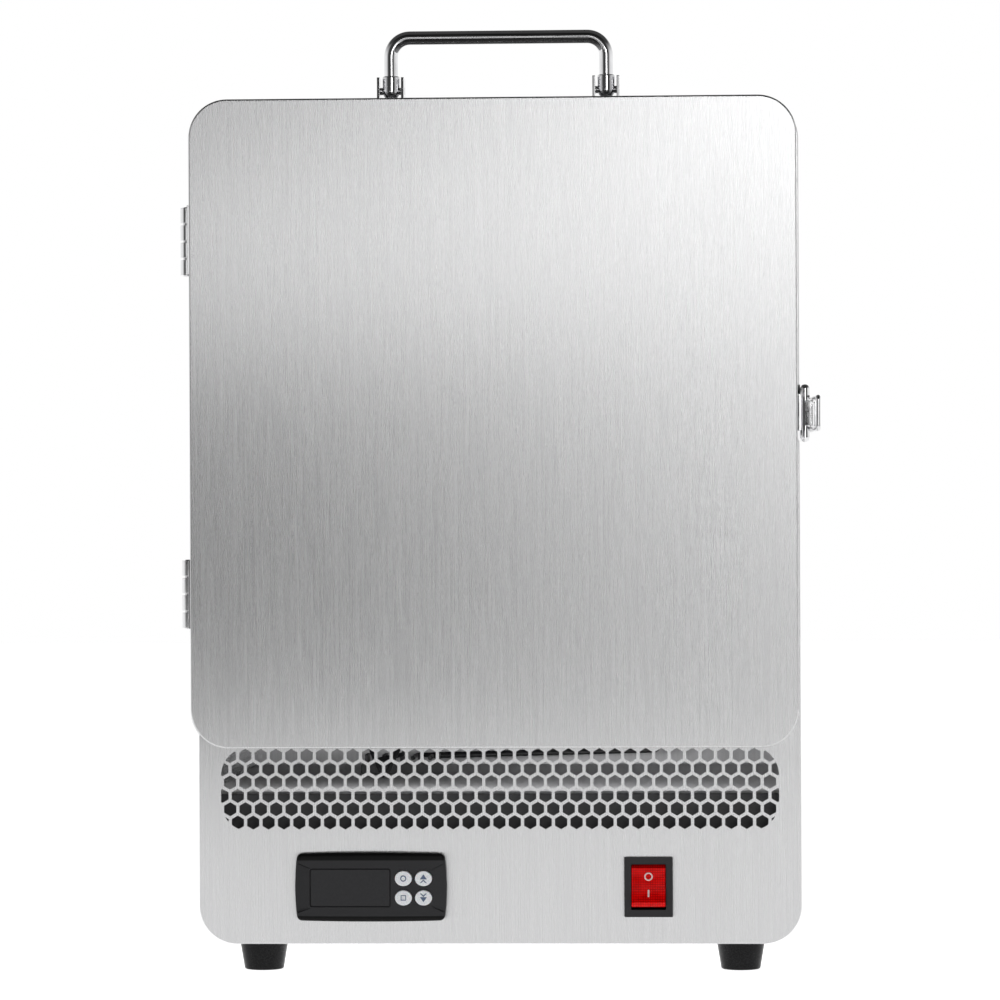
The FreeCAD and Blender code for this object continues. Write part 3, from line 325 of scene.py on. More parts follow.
class Recipe:
    """A material's node tree, with short calls for the nodes that the finishes share."""

    def __init__(self, name):
        self.material = bpy.data.materials.new(name)
        self.material.use_nodes = True
        self.tree = self.material.node_tree
        self.shader = next(n for n in self.tree.nodes if n.type == "BSDF_PRINCIPLED")
        self.place = self.tree.nodes.new("ShaderNodeTexCoord").outputs["Object"]

    def link(self, output, target):
        self.tree.links.new(output, target)

    def stretched(self, scale):
        mapping = self.tree.nodes.new("ShaderNodeMapping")
        mapping.inputs["Scale"].default_value = scale
        self.link(self.place, mapping.inputs["Vector"])
        return mapping.outputs["Vector"]

    def noise(self, vector, scale, detail=3.0, rough=0.55):
        node = self.tree.nodes.new("ShaderNodeTexNoise")
        node.inputs["Scale"].default_value = scale
        node.inputs["Detail"].default_value = detail
        node.inputs["Roughness"].default_value = rough
        self.link(vector, node.inputs["Vector"])
        return node.outputs["Fac"]

    def sum(self, kind, first, second):
        node = self.tree.nodes.new("ShaderNodeMath")
        node.operation = kind
        for socket, value in zip(node.inputs, (first, second)):
            if isinstance(value, (int, float)):
                socket.default_value = value
            else:
                self.link(value, socket)
        return node.outputs[0]

    def span(self, value, low, high, start=0.3, end=0.7):
        node = self.tree.nodes.new("ShaderNodeMapRange")
        node.inputs["From Min"].default_value = start
        node.inputs["From Max"].default_value = end
        node.inputs["To Min"].default_value = low
        node.inputs["To Max"].default_value = high
        self.link(value, node.inputs["Value"])
        return node.outputs["Result"]

    def tint(self, value, low, high, start=0.3, end=0.7):
        node = self.tree.nodes.new("ShaderNodeValToRGB")
        node.color_ramp.elements[0].position = start
        node.color_ramp.elements[1].position = end
        node.color_ramp.elements[0].color = (*low, 1)
        node.color_ramp.elements[1].color = (*high, 1)
        self.link(value, node.inputs["Fac"])
        self.link(node.outputs["Color"], self.shader.inputs["Base Color"])
        return node.outputs["Color"]

    def rough(self, output):
        self.link(output, self.shader.inputs["Roughness"])

    def bump(self, height, strength, depth):
        node = self.tree.nodes.new("ShaderNodeBump")
        node.inputs["Strength"].default_value = strength
        node.inputs["Distance"].default_value = depth
        self.link(height, node.inputs["Height"])
        self.link(node.outputs["Normal"], self.shader.inputs["Normal"])

    def set(self, **values):
        for name, value in values.items():
            self.shader.inputs[name.replace("_", " ")].default_value = value


def finish(name):
    """List a material under its name, and make it once."""
    def wrap(build):
        def once():
            if name not in MADE:
                recipe = Recipe(name + "_finish")
                build(recipe)
                MADE[name] = recipe.material
            return MADE[name]
        FINISHES[name] = once
        return once
    return wrap


def shade(base, factor):
    return tuple(min(1.0, part * factor) for part in base)


def palette():
    return bpy.context.scene.dehydrator_colours


def brushed(recipe, base, fine, grain, rough, strength, spread=0.9):
    """Sheet with a one-way grain: hair is the fine scratching, band the broad streaks."""
    hair = recipe.noise(recipe.stretched(fine), 1.0, 4.0, 0.75)
    band = recipe.noise(recipe.stretched(grain), 1.0, 2.0, 0.5)
    both = recipe.sum("ADD", recipe.sum("MULTIPLY", hair, 0.86), recipe.sum("MULTIPLY", band, 0.14))
    recipe.tint(both, shade(base, 0.94), shade(base, 1.06), 0.36, 0.64)
    recipe.rough(recipe.span(hair, rough - 0.02, rough + 0.02))
    recipe.bump(hair, strength, 0.00002)
    recipe.set(Metallic=1.0, Anisotropic=spread)


@finish("brushed_steel")
def upright_steel(recipe):
    brushed(recipe, palette().steel, (2600, 2600, 24), (420, 420, 9), 0.27, 0.16)


@finish("wrap_steel")
def wrap_steel(recipe):
    brushed(recipe, palette().steel, (2600, 24, 2600), (420, 9, 420), 0.27, 0.16)
    recipe.set(Anisotropic_Rotation=0.25)


@finish("inner_steel")
def inner_steel(recipe):
    brushed(recipe, palette().liner, (900, 900, 70), (60, 60, 18), 0.30, 0.10, 0.3)


@finish("bay_steel")
def bay_steel(recipe):
    """Unpolished galvanised sheet, which scatters the light that enters through the grille."""
    spangle = recipe.noise(recipe.stretched((300, 300, 30)), 1.0, 4.0, 0.6)
    recipe.tint(spangle, (0.50, 0.50, 0.51), (0.66, 0.66, 0.67))
    recipe.rough(recipe.span(spangle, 0.42, 0.58))
    recipe.bump(spangle, 0.15, 0.00003)
    recipe.set(Metallic=0.55)


@finish("hinge_steel")
def hinge_steel(recipe):
    brushed(recipe, palette().chrome, (1400, 1400, 90), (200, 200, 30), 0.17, 0.12, 0.2)


@finish("steel_fixings")
def fixing_steel(recipe):
    worn = recipe.noise(recipe.place, 900, 4.0)
    recipe.tint(worn, (0.50, 0.50, 0.51), (0.72, 0.72, 0.73))
    recipe.rough(recipe.span(worn, 0.18, 0.32))
    recipe.bump(worn, 0.08, 0.00003)
    recipe.set(Metallic=1.0)


@finish("chrome")
def bright_chrome(recipe):
    haze = recipe.noise(recipe.place, 140, 4.0)
    base = palette().chrome
    recipe.tint(haze, shade(base, 0.93), shade(base, 1.03))
    recipe.rough(recipe.span(haze, 0.035, 0.085))
    recipe.bump(haze, 0.03, 0.00004)
    recipe.set(Metallic=1.0)


def moulded(recipe, base, rough, scale, strength, depth=0.00004):
    skin = recipe.noise(recipe.place, scale, 4.0, 0.6)
    recipe.tint(skin, shade(base, 0.80), shade(base, 1.22))
    recipe.rough(recipe.span(skin, rough - 0.06, rough + 0.08))
    recipe.bump(skin, strength, depth)


@finish("dark_plastic")
def bezel_plastic(recipe):
    moulded(recipe, palette().black, 0.50, 2600, 0.22)
    recipe.set(Specular_IOR_Level=0.28)


@finish("bezel_band")
def bezel_band(recipe):
    """The near-black bands along the bezel's upper and lower edges: painted shade that stands in for the
    shade on its rolled edges.
    """
    moulded(recipe, (0.003, 0.003, 0.003), 0.35, 900, 0.05)
    recipe.set(Specular_IOR_Level=0.12)


@finish("black_plastic")
def housing_plastic(recipe):
    moulded(recipe, palette().housing, 0.42, 2200, 0.18)
    recipe.set(Specular_IOR_Level=0.25)


@finish("window")
def smoky_window(recipe):
    moulded(recipe, (0.017, 0.017, 0.019), 0.45, 900, 0.03)
    recipe.set(Specular_IOR_Level=0.32)


@finish("button_white")
def key_plastic(recipe):
    moulded(recipe, palette().keys, 0.38, 1500, 0.05)
    recipe.set(Subsurface_Weight=0.08, Subsurface_Scale=0.001)


@finish("key_marks")
def mark_ink(recipe):
    moulded(recipe, palette().marks, 0.5, 3000, 0.08)


@finish("switch_red")
def switch_red(recipe):
    """Clear red plastic with a fine moulded grid that shows under its face."""
    base = palette().red
    grid = []
    for axis in ("X", "Z"):
        wave = recipe.tree.nodes.new("ShaderNodeTexWave")
        wave.wave_type = "BANDS"
        wave.bands_direction = axis
        wave.inputs["Scale"].default_value = 0.314 / 0.00125
        recipe.link(recipe.place, wave.inputs["Vector"])
        grid.append(wave.outputs["Fac"])
    lattice = recipe.sum("MULTIPLY", grid[0], grid[1])
    cloud = recipe.noise(recipe.place, 260, 3.0)
    both = recipe.sum("ADD", recipe.sum("MULTIPLY", lattice, 0.55), recipe.sum("MULTIPLY", cloud, 0.45))
    recipe.tint(both, shade(base, 0.40), (0.95, 0.002, 0.002), 0.12, 0.62)
    recipe.rough(recipe.span(cloud, 0.12, 0.20))
    recipe.bump(lattice, 0.25, 0.00006)
    recipe.set(Specular_IOR_Level=0.10)


@finish("switch_marks")
def switch_marks(recipe):
    moulded(recipe, (0.85, 0.66, 0.66), 0.4, 2000, 0.06)


@finish("rubber")
def foot_rubber(recipe):
    moulded(recipe, palette().rubber, 0.26, 1500, 0.12)
    recipe.set(Specular_IOR_Level=0.16)


@finish("silicone")
def gasket_silicone(recipe):
    moulded(recipe, palette().silicone, 0.55, 700, 0.12)
    recipe.set(Sheen_Weight=0.2)


@finish("wool")
def rock_wool(recipe):
    fibre = recipe.noise(recipe.stretched((600, 90, 600)), 1.0, 6.0, 0.7)
    base = palette().wool
    recipe.tint(fibre, shade(base, 0.55), shade(base, 1.2))
    recipe.rough(recipe.span(fibre, 0.85, 0.98))
    recipe.bump(fibre, 0.9, 0.0006)
    recipe.set(Sheen_Weight=0.3)


@finish("fan_metal")
def fan_metal(recipe):
    moulded(recipe, (0.055, 0.056, 0.058), 0.42, 420, 0.12)
    recipe.set(Metallic=0.35)


@finish("wire_steel")
def tray_wire(recipe):
    haze = recipe.noise(recipe.stretched((500, 60, 500)), 1.0, 4.0)
    recipe.tint(haze, (0.60, 0.60, 0.61), (0.78, 0.78, 0.79))
    recipe.rough(recipe.span(haze, 0.12, 0.24))
    recipe.bump(haze, 0.05, 0.00003)
    recipe.set(Metallic=1.0)


@finish("heater_tube")
def heater_sheath(recipe):
    """Steel sheath with the straw and blue colours of heat."""
    heat = recipe.noise(recipe.place, 32, 4.0)
    recipe.tint(heat, (0.17, 0.13, 0.12), (0.40, 0.34, 0.26))
    recipe.rough(recipe.span(heat, 0.28, 0.48))
    recipe.bump(recipe.noise(recipe.place, 900, 3.0), 0.12, 0.00004)
    recipe.set(Metallic=0.9)


@finish("sensor")
def sensor_body(recipe):
    moulded(recipe, (0.58, 0.56, 0.52), 0.34, 800, 0.08)
    recipe.set(Metallic=0.6)


@finish("dark_sheet")
def dark_sheet(recipe):
    """Near-black sheet with paler vertical streaks. Its dark tone is partly the sheet's own colour and partly
    painted shade for the dim lower bay behind the grille.
    """
    scuff = recipe.noise(recipe.stretched((30, 30, 140)), 1.0, 5.0, 0.7)
    recipe.tint(scuff, (0.050, 0.050, 0.052), (0.085, 0.085, 0.088), 0.35, 0.75)
    recipe.rough(recipe.span(scuff, 0.42, 0.62))
    recipe.bump(scuff, 0.12, 0.00005)


@finish("wire_cover")
def wire_cover(recipe):
    moulded(recipe, (0.016, 0.016, 0.017), 0.45, 900, 0.12)


# ------------------------------------------------------------------ cabinet

def make_wrap():
    refined("cabinet_wrap", "outer_wrap", width=0, finish="wrap_steel")


def hex_cutters(sizes):
    """The grille's hexagons as one cutter, staggered in six rows; make_fascia trims it to a rounded outline.
    """
    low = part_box("front_fascia")[0]
    middle_z = 0.0961
    row_pitch = sizes.hex_pitch * math.sqrt(3) / 2
    pegs = []
    for row in range(6):
        count = 36 if row % 2 == 0 else 37
        start = -sizes.hex_pitch * (count - 1) / 2
        peg = drum("peg_row_%d" % row, sizes.hex_flats / math.sqrt(3), 0.01,
                   (start, low.y, middle_z + (2.5 - row) * row_pitch), "y", 6)
        modifier = peg.modifiers.new("Row", "ARRAY")
        modifier.use_relative_offset = False
        modifier.use_constant_offset = True
        modifier.constant_offset_displace = (sizes.hex_pitch, 0, 0)
        modifier.count = count
        apply_all(peg)
        pegs.append(peg)
    return joined("hex_pegs", pegs)


def make_fascia():
    """The front sheet: rolled rim, chamber opening, grille and the two cut-outs."""
    sizes = bpy.context.scene.dehydrator_sizes
    low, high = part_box("front_fascia")
    liner_low, liner_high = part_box("chamber_liner")
    fascia = rounded_block("fascia_sheet", low, high, 1, sizes.corner, 18)
    roll_front(fascia, sizes.fascia_roll, 3)
    opening = rounded_block("opening", (liner_low.x + 0.0008, low.y - 0.01, liner_low.z + 0.0008),
                            (liner_high.x - 0.0008, high.y + 0.01, liner_high.z - 0.0008), 1, 0.008, 8)
    bezel_low, bezel_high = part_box("controller_case")
    socket = block("controller_cut", (bezel_low.x, low.y - 0.01, bezel_low.z),
                   (bezel_high.x, high.y + 0.01, bezel_high.z))
    rocker_low, rocker_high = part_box("rocker_housing")
    switch = block("switch_cut", (rocker_low.x + 0.0015, low.y - 0.01, rocker_low.z + 0.0018),
                   (rocker_high.x - 0.0015, high.y + 0.01, rocker_high.z - 0.0018))
    field = hex_cutters(sizes)
    outline = rounded_block("grille_outline", (-0.146, low.y - 0.02, 0.0741), (0.146, low.y + 0.02, 0.1181),
                            1, 0.015, 10)
    combine(field, outline, "INTERSECT")
    cut_out(fascia, opening, socket, switch, field)
    smooth(fascia, 25)
    dress(fascia, "cabinet", "brushed_steel")
    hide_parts("front_fascia")


# ------------------------------------------------------------------ door

def make_door():
    sizes = bpy.context.scene.dehydrator_sizes
    low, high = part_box("door_outer_shell")
    pan = rounded_block("door_pan", low, high, 1, sizes.corner, 18)
    roll_front(pan, sizes.door_roll, 5)
    with editing(pan):
        pick(pan, "faces", facing((0, 1, 0), 0.99))
        bpy.ops.mesh.delete(type="FACE")
    wall = pan.modifiers.new("Wall", "SOLIDIFY")
    wall.thickness = sizes.gauge
    wall.offset = -1
    wall.use_even_offset = True
    apply_all(pan)
    smooth(pan)
    dress(pan, "door", "brushed_steel")
    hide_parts("door_outer_shell")

    low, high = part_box("door_inner_panel")
    panel = rounded_block("door_back_panel", low, high, 1, sizes.corner - sizes.gauge, 16)
    roll_front(panel, 0.0015, 3, (0, 1, 0))
    field = rounded_block("panel_field", (low.x + 0.036, high.y - 0.0010, low.z + 0.050),
                          (high.x - 0.036, high.y + 0.0012, high.z - 0.036), 1, 0.012, 8)
    combine(panel, field, "UNION")
    with editing(panel):
        pick(panel, "faces", lambda f: f.normal.y < -0.99 and f.calc_center_median().y < low.y + 0.0005)
        bpy.ops.mesh.delete(type="FACE")
    wall = panel.modifiers.new("Wall", "SOLIDIFY")
    wall.thickness = 0.0006
    wall.offset = -1
    apply_all(panel)
    ease(panel, 0.0005, 2, 50)
    smooth(panel, 32)
    dress(panel, "door", "inner_steel")
    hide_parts("door_inner_panel")

    refined("door_seal", "door_gasket", width=0.0009, segments=3, finish="silicone")


# ------------------------------------------------------------------ carrying handle

def make_handle():
    """The bail: a round rod extruded and spun through its two bends, with a collar at each end."""
    sizes = bpy.context.scene.dehydrator_sizes
    low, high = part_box("handle_bail")
    centre_x = (low.x + high.x) / 2
    depth = (low.y + high.y) / 2
    top = high.z - sizes.rod
    half = 0.0598
    bend = 0.0105
    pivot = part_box("handle_pivot_pins")[0].z + 0.002
    bpy.ops.object.select_all(action="DESELECT")
    bpy.ops.mesh.primitive_circle_add(vertices=40, radius=sizes.rod, fill_type="NOTHING",
                                      location=(centre_x - half, depth, pivot + 0.004))
    rod = named("handle_rod")
    with editing(rod):
        bpy.ops.mesh.select_mode(type="EDGE")
        bpy.ops.mesh.select_all(action="SELECT")
        bpy.ops.mesh.extrude_region_move(
            TRANSFORM_OT_translate={"value": (0, 0, top - bend - pivot - 0.004)})
        bpy.ops.mesh.spin(steps=16, angle=-math.pi / 2, axis=(0, 1, 0), dupli=False,
                          center=(centre_x - half + bend, depth, top - bend))
        bpy.ops.mesh.extrude_region_move(TRANSFORM_OT_translate={"value": (2 * (half - bend), 0, 0)})
        bpy.ops.mesh.spin(steps=16, angle=-math.pi / 2, axis=(0, 1, 0), dupli=False,
                          center=(centre_x + half - bend, depth, top - bend))
        bpy.ops.mesh.extrude_region_move(
            TRANSFORM_OT_translate={"value": (0, 0, -(top - bend - pivot - 0.004))})
        bpy.ops.mesh.select_all(action="SELECT")
        bpy.ops.mesh.remove_doubles(threshold=1e-6)
        bpy.ops.mesh.select_all(action="DESELECT")
        bpy.ops.mesh.select_mode(type="EDGE")
        bpy.ops.mesh.select_non_manifold()
        bpy.ops.mesh.edge_face_add()
        bpy.ops.mesh.select_all(action="SELECT")
        bpy.ops.mesh.normals_make_consistent(inside=False)
    pieces = [rod]
    collar, rise = sizes.collar, 0.0082
    for side in (-1, 1):
        x = centre_x + side * half
        sleeve = drum("handle_collar", collar, collar + rise, (x, depth, pivot + (rise - collar) / 2),
                      "z", 40)
        with editing(sleeve):
            pick(sleeve, "faces", facing((0, 0, -1), 0.99))
            bpy.ops.mesh.region_to_loop()
            bpy.ops.mesh.bevel(offset=collar * 0.96, segments=8, affect="EDGES", clamp_overlap=False)
            pick(sleeve, "faces", facing((0, 0, 1), 0.99))
            bpy.ops.mesh.region_to_loop()
            bpy.ops.mesh.bevel(offset=0.0009, segments=3, affect="EDGES", clamp_overlap=False)
        pieces.append(sleeve)
    bail = joined("carry_handle", pieces)
    smooth(bail, 40)
    dress(bail, "handle", "chrome")
    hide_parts("handle_bail")
    refined("handle_mounts", "handle_brackets", width=0.00035, finish="chrome")
    refined("handle_pins", "handle_pivot_pins", width=0.0004, finish="steel_fixings")


# ------------------------------------------------------------------ hinges and rivets

def make_hinges():
    for level in ("upper", "lower"):
        for side in ("frame", "door"):
            refined("hinge_%s_%s" % (level, side), "hinge_%s_%s_leaf" % (level, side), width=0.0003,
                    segments=2, finish="hinge_steel")
    refined("hinge_rods", "hinge_pins", width=0.0006, segments=3, finish="steel_fixings")
    refined("cabinet_rivet_set", "cabinet_rivets", width=0.0005, segments=3, finish="steel_fixings")
    refined("door_rivet_set", "door_rivets", width=0.0005, segments=3, finish="steel_fixings")


# ------------------------------------------------------------------ toggle latch

def make_latch():
    refined("latch_plate", "latch_base", width=0.0003, finish="chrome")
    refined("latch_hook", "latch_keeper", width=0.0003, finish="chrome")
    refined("latch_wire_loop", "latch_loop", width=0, finish="chrome")
    refined("latch_handle", "latch_lever", width=0.00035, segments=3, finish="chrome")
    make_curl()
    make_spring()


def make_curl():
    """The lever's finger lip, which curls out from the end of its web."""
    low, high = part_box("latch_lever")
    start = high.y - 0.0014
    curl = block("latch_finger_lip", (0.1659, start - 0.0015, low.z), (0.1669, start, high.z))
    with editing(curl):
        pick(curl, "faces", facing((0, 1, 0), 0.99))
        bpy.ops.mesh.spin(steps=10, angle=math.radians(84), axis=(0, 0, 1), dupli=False,
                          center=(0.1701, start, low.z))
        bpy.ops.mesh.select_all(action="SELECT")
        bpy.ops.mesh.remove_doubles(threshold=1e-6)
        bpy.ops.mesh.normals_make_consistent(inside=False)
    ease(curl, 0.0003, 2, 50)
    smooth(curl, 40)
    dress(curl, "latch_lever", "chrome")


def make_spring():
    """The close-wound coil that runs the height of the loop, on the lever's pivot."""
    low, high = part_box("latch_loop")
    turns, points_a_turn, reach, wire = 15, 8, 0.0006, 0.00036
    centre_x, centre_y = 0.16435, -0.1045
    middle, tall = (low.z + high.z) / 2, high.z - low.z - 2 * wire
    count = turns * points_a_turn + 1
    path = []
    for step in range(count):
        angle = step / points_a_turn * 2 * math.pi
        level = middle + (step / (count - 1) - 0.5) * tall
        path.append((centre_x + reach * math.cos(angle), centre_y + reach * math.sin(angle), level))
    spring = tube("latch_spring", path, wire, order=3, steps=3, rings=3)
    smooth(spring, 60)
    dress(spring, "latch_lever", "steel_fixings")


# ------------------------------------------------------------------ controller

KEYS = ("button_u", "button_up", "button_p", "button_down")


def oval(name, low, high, grow=0.0, sides=40):
    """A drum with an oval face that fills a box and points along Y."""
    low, high = Vector(low), Vector(high)
    size = high - low
    piece = drum(name, 0.5, size.y, (0, 0, 0), "y", sides)
    with editing(piece):
        bpy.ops.mesh.select_all(action="SELECT")
        bpy.ops.transform.resize(value=(size.x + grow, 1, size.z + grow))
        bpy.ops.transform.translate(value=(low + high) / 2)
    return piece


def cheek_cutter(side, face, inner, outer, depth):
    """A wedge that slopes a cheek back from its crease to the bezel's outer edge."""
    low = (min(inner, outer), face - 0.004, 0.0347)
    high = (max(inner, outer), face, 0.0552)
    wedge = block("cheek_wedge", low, high)
    with editing(wedge):
        pick(wedge, "faces", facing((side, 0, 0), 0.99))
        bpy.ops.transform.resize(value=(1, 1, 1.42))
        pick(wedge, "verts", lambda v: abs(v.co.x - outer) < 1e-5 and v.co.y > face - 1e-5)
        bpy.ops.transform.translate(value=(0, depth, 0))
        bpy.ops.mesh.select_all(action="SELECT")
        bpy.ops.mesh.normals_make_consistent(inside=False)
    return wedge


def groove(outer, inner, face, drop, half_width=0.00022):
    """A narrow cutter that runs from a cheek's outer end to its inner end, deeper at the outer end."""
    (left_x, left_z), (right_x, right_z) = sorted((outer, inner))
    piece = block("groove", (left_x, face - 0.002, left_z - half_width),
                  (right_x, face + 0.0005, left_z + half_width))
    with editing(piece):
        pick(piece, "verts", lambda v: abs(v.co.x - right_x) < 1e-6)
        bpy.ops.transform.translate(value=(0, 0, right_z - left_z))
        pick(piece, "verts", lambda v: abs(v.co.x - outer[0]) < 1e-6 and v.co.y > face)
        bpy.ops.transform.translate(value=(0, drop, 0))
    return piece


def sliced(piece, axis, places):
    """Cut a piece across an axis at several places, so that it can bow."""
    plane = [0, 0, 0]
    plane[axis] = 1
    with editing(piece):
        for place in places:
            spot = [0, 0, 0]
            spot[axis] = place
            bpy.ops.mesh.select_all(action="SELECT")
            bpy.ops.mesh.bisect(plane_co=spot, plane_no=plane)


# How far out from the bezel's middle its sides and its upper and lower edges start to bow, and by how
# much, and where its painted-shade bands begin (near-black bands for the shade on its rolled edges). All but
# the bows are shares of half its width or height.
SIDE_BOW_START, SIDE_BOW = 0.86, 0.0012
EDGE_BOW_START, EDGE_BOW = 0.80, 0.0006
UPPER_SHADE_BAND, LOWER_SHADE_BAND = 0.80, -0.86


def make_bezel():
    sizes = bpy.context.scene.dehydrator_sizes
    low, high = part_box("controller_bezel")
    bezel = rounded_block("controller_face", low, high, 1, 0.0024, 5)
    roll_front(bezel, 0.0019, 4)
    window_low, window_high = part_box("display_window")
    recess = rounded_block("window_cut", (window_low.x, low.y - 0.01, window_low.z),
                           (window_high.x, low.y + 0.0016, window_high.z), 1, 0.0012, 4)
    cutters = [cheek_cutter(-1, low.y, window_low.x - 0.0003, low.x - 0.003, sizes.cheek * 1.5),
               cheek_cutter(1, low.y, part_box("button_up")[1].x - 0.0003, high.x + 0.003, sizes.cheek * 1.5),
               recess]
    for key in KEYS:
        key_low, key_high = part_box(key)
        cutters.append(oval("key_cut", (key_low.x, low.y - 0.01, key_low.z),
                            (key_high.x, high.y + 0.01, key_high.z), 0.0005, 32))
    for outer_x, inner_x, top_outer, top_inner, foot_outer, foot_inner in (
            (low.x + 0.0010, window_low.x + 0.0002, 0.0052, 0.0078, 0.0043, 0.0066),
            (high.x - 0.0012, high.x - 0.0068, 0.0057, 0.0086, 0.0049, 0.0078)):
        cutters.append(groove((outer_x, high.z - top_outer), (inner_x, high.z - top_inner), low.y, 0.0016))
        cutters.append(groove((outer_x, low.z + foot_outer), (inner_x, low.z + foot_inner), low.y, 0.0016))
    cut_out(bezel, *cutters)
    centre, half = (low + high) / 2, (high - low) / 2
    sliced(bezel, 0, [centre.x + half.x * step / 8 for step in range(-7, 8)])
    levels = (-0.92, LOWER_SHADE_BAND, -0.5, 0, 0.5, UPPER_SHADE_BAND, 0.92)
    sliced(bezel, 2, [centre.z + half.z * level for level in levels])
    with editing(bezel):
        mesh = bmesh.from_edit_mesh(bezel.data)
        for vert in mesh.verts:
            across = (vert.co.x - centre.x) / half.x
            up = (vert.co.z - centre.z) / half.z
            if abs(across) > SIDE_BOW_START:
                share = (1 - up * up) * (abs(across) - SIDE_BOW_START) / (1 - SIDE_BOW_START)
                vert.co.x += math.copysign(SIDE_BOW * share, across)
            if abs(up) > EDGE_BOW_START:
                share = (1 - across * across) * (abs(up) - EDGE_BOW_START) / (1 - EDGE_BOW_START)
                vert.co.z += math.copysign(EDGE_BOW * share, up)
        bmesh.update_edit_mesh(bezel.data)
    smooth(bezel, 24)
    dress(bezel, "cabinet", "dark_plastic")
    # Faces near the upper and lower edges take a near-black finish: painted shade for the bezel's rolled
    # edges.
    bezel.data.materials.append(FINISHES["bezel_band"]())
    for face in bezel.data.polygons:
        up = (face.center.z - centre.z) / half.z
        face.material_index = 1 if up > UPPER_SHADE_BAND or up < LOWER_SHADE_BAND else 0
    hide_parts("controller_bezel")

    pane = rounded_block("controller_window", (window_low.x + 0.0005, low.y + 0.0002, window_low.z + 0.0005),
                         (window_high.x - 0.0005, low.y + 0.0015, window_high.z - 0.0005), 1, 0.0009, 4)
    roll_front(pane, 0.00025, 2)
    smooth(pane)
    dress(pane, "cabinet", "window")
    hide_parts("display_window")
    refined("controller_box", "controller_case", width=0.0004, finish="black_plastic")
    refined("controller_side_clips", "controller_clips", width=0.0004, finish="black_plastic")


def arrowhead(name, x, z, face, up, half_tall):
    """A flat arrowhead: a thin block with its upper or lower end drawn to a point."""
    half_wide, half_deep = 0.0018, 0.00012
    piece = block(name, (x - half_wide, face - half_deep, z - half_tall),
                  (x + half_wide, face + half_deep, z + half_tall))
    tip = z + (half_tall if up else -half_tall)
    with editing(piece):
        pick(piece, "verts", lambda v: abs(v.co.z - tip) < 1e-6)
        bpy.ops.transform.resize(value=(0, 1, 1), center_override=(x, face, z))
        bpy.ops.mesh.select_all(action="SELECT")
        bpy.ops.mesh.remove_doubles(threshold=1e-6)
    return piece


def key_mark(key, x, z, face):
    """The mark on a key: a ring, a square outline, or a pair of arrowheads."""
    if key == "button_u":
        bpy.ops.object.select_all(action="DESELECT")
        bpy.ops.mesh.primitive_torus_add(location=(x, face, z), rotation=(math.pi / 2, 0, 0),
                                         major_radius=0.00135, minor_radius=0.00026, major_segments=32,
                                         minor_segments=8)
        return named("ring_mark")
    if key == "button_p":
        bpy.ops.object.select_all(action="DESELECT")
        bpy.ops.mesh.primitive_torus_add(location=(x, face, z), rotation=(math.pi / 2, math.pi / 4, 0),
                                         major_radius=0.0017, minor_radius=0.00028, major_segments=4,
                                         minor_segments=8)
        return named("square_mark")
    up = key == "button_up"
    lean = 1 if up else -1
    solid = arrowhead("arrow", x, z + lean * 0.0009, face, up, 0.0013)
    outline = arrowhead("chevron", x, z - lean * 0.0014, face, up, 0.0009)
    notch = arrowhead("notch", x, z - lean * 0.0022, face, up, 0.0009)
    with editing(notch):
        bpy.ops.mesh.select_all(action="SELECT")
        bpy.ops.transform.resize(value=(1.1, 3, 1), center_override=(x, face, z))
    cut_out(outline, notch)
    return joined("arrow_mark", [solid, outline])


def make_keys():
    sizes = bpy.context.scene.dehydrator_sizes
    for key, title in zip(KEYS, ("ring", "raise", "square", "lower")):
        low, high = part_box(key)
        cap = oval("key_%s" % title, low, high, 0.0, 48)
        roll_front(cap, sizes.key_round, 4)
        smooth(cap)
        dress(cap, body_of(key), "button_white")
        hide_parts(key)
        mark = key_mark(key, (low.x + high.x) / 2, (low.z + high.z) / 2, low.y - 0.00002)
        mark.name = "key_mark_%s" % title
        smooth(mark)
        dress(mark, body_of(key), "key_marks")


def make_controller():
    make_bezel()
    make_keys()


# ------------------------------------------------------------------ power switch

def make_switch():
    refined("switch_housing", "rocker_housing", width=0.0005, segments=3, finish="black_plastic")
    low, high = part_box("rocker_cap")
    cap = refined("switch_cap", "rocker_cap", width=0.0005, segments=3, finish="switch_red")
    centre = (low.x + high.x) / 2
    bpy.ops.object.select_all(action="DESELECT")
    bpy.ops.mesh.primitive_torus_add(location=(centre, -0.13542, 0.0504), rotation=(math.radians(94.5), 0, 0),
                                     major_radius=0.00185, minor_radius=0.00038, major_segments=36,
                                     minor_segments=8)
    ring = named("off_mark")
    half_bar = Vector((0.00043, 0.00016, 0.00195))
    middle = Vector((centre, 0, 0))
    bar = rounded_block("on_mark", middle - half_bar, middle + half_bar, 1, 0.0003, 3)
    with editing(bar):
        bpy.ops.mesh.select_all(action="SELECT")
        bpy.ops.transform.rotate(value=math.radians(20.5), orient_axis="X", center_override=(centre, 0, 0))
        bpy.ops.transform.translate(value=(0, -0.13656, 0.0417))
    marks = joined("switch_signs", [ring, bar])
    smooth(marks)
    dress(marks, "rocker", "switch_marks")
    refined("switch_tabs", "rocker_terminals", width=0.0002, finish="steel_fixings")
    return cap


# ------------------------------------------------------------------ feet

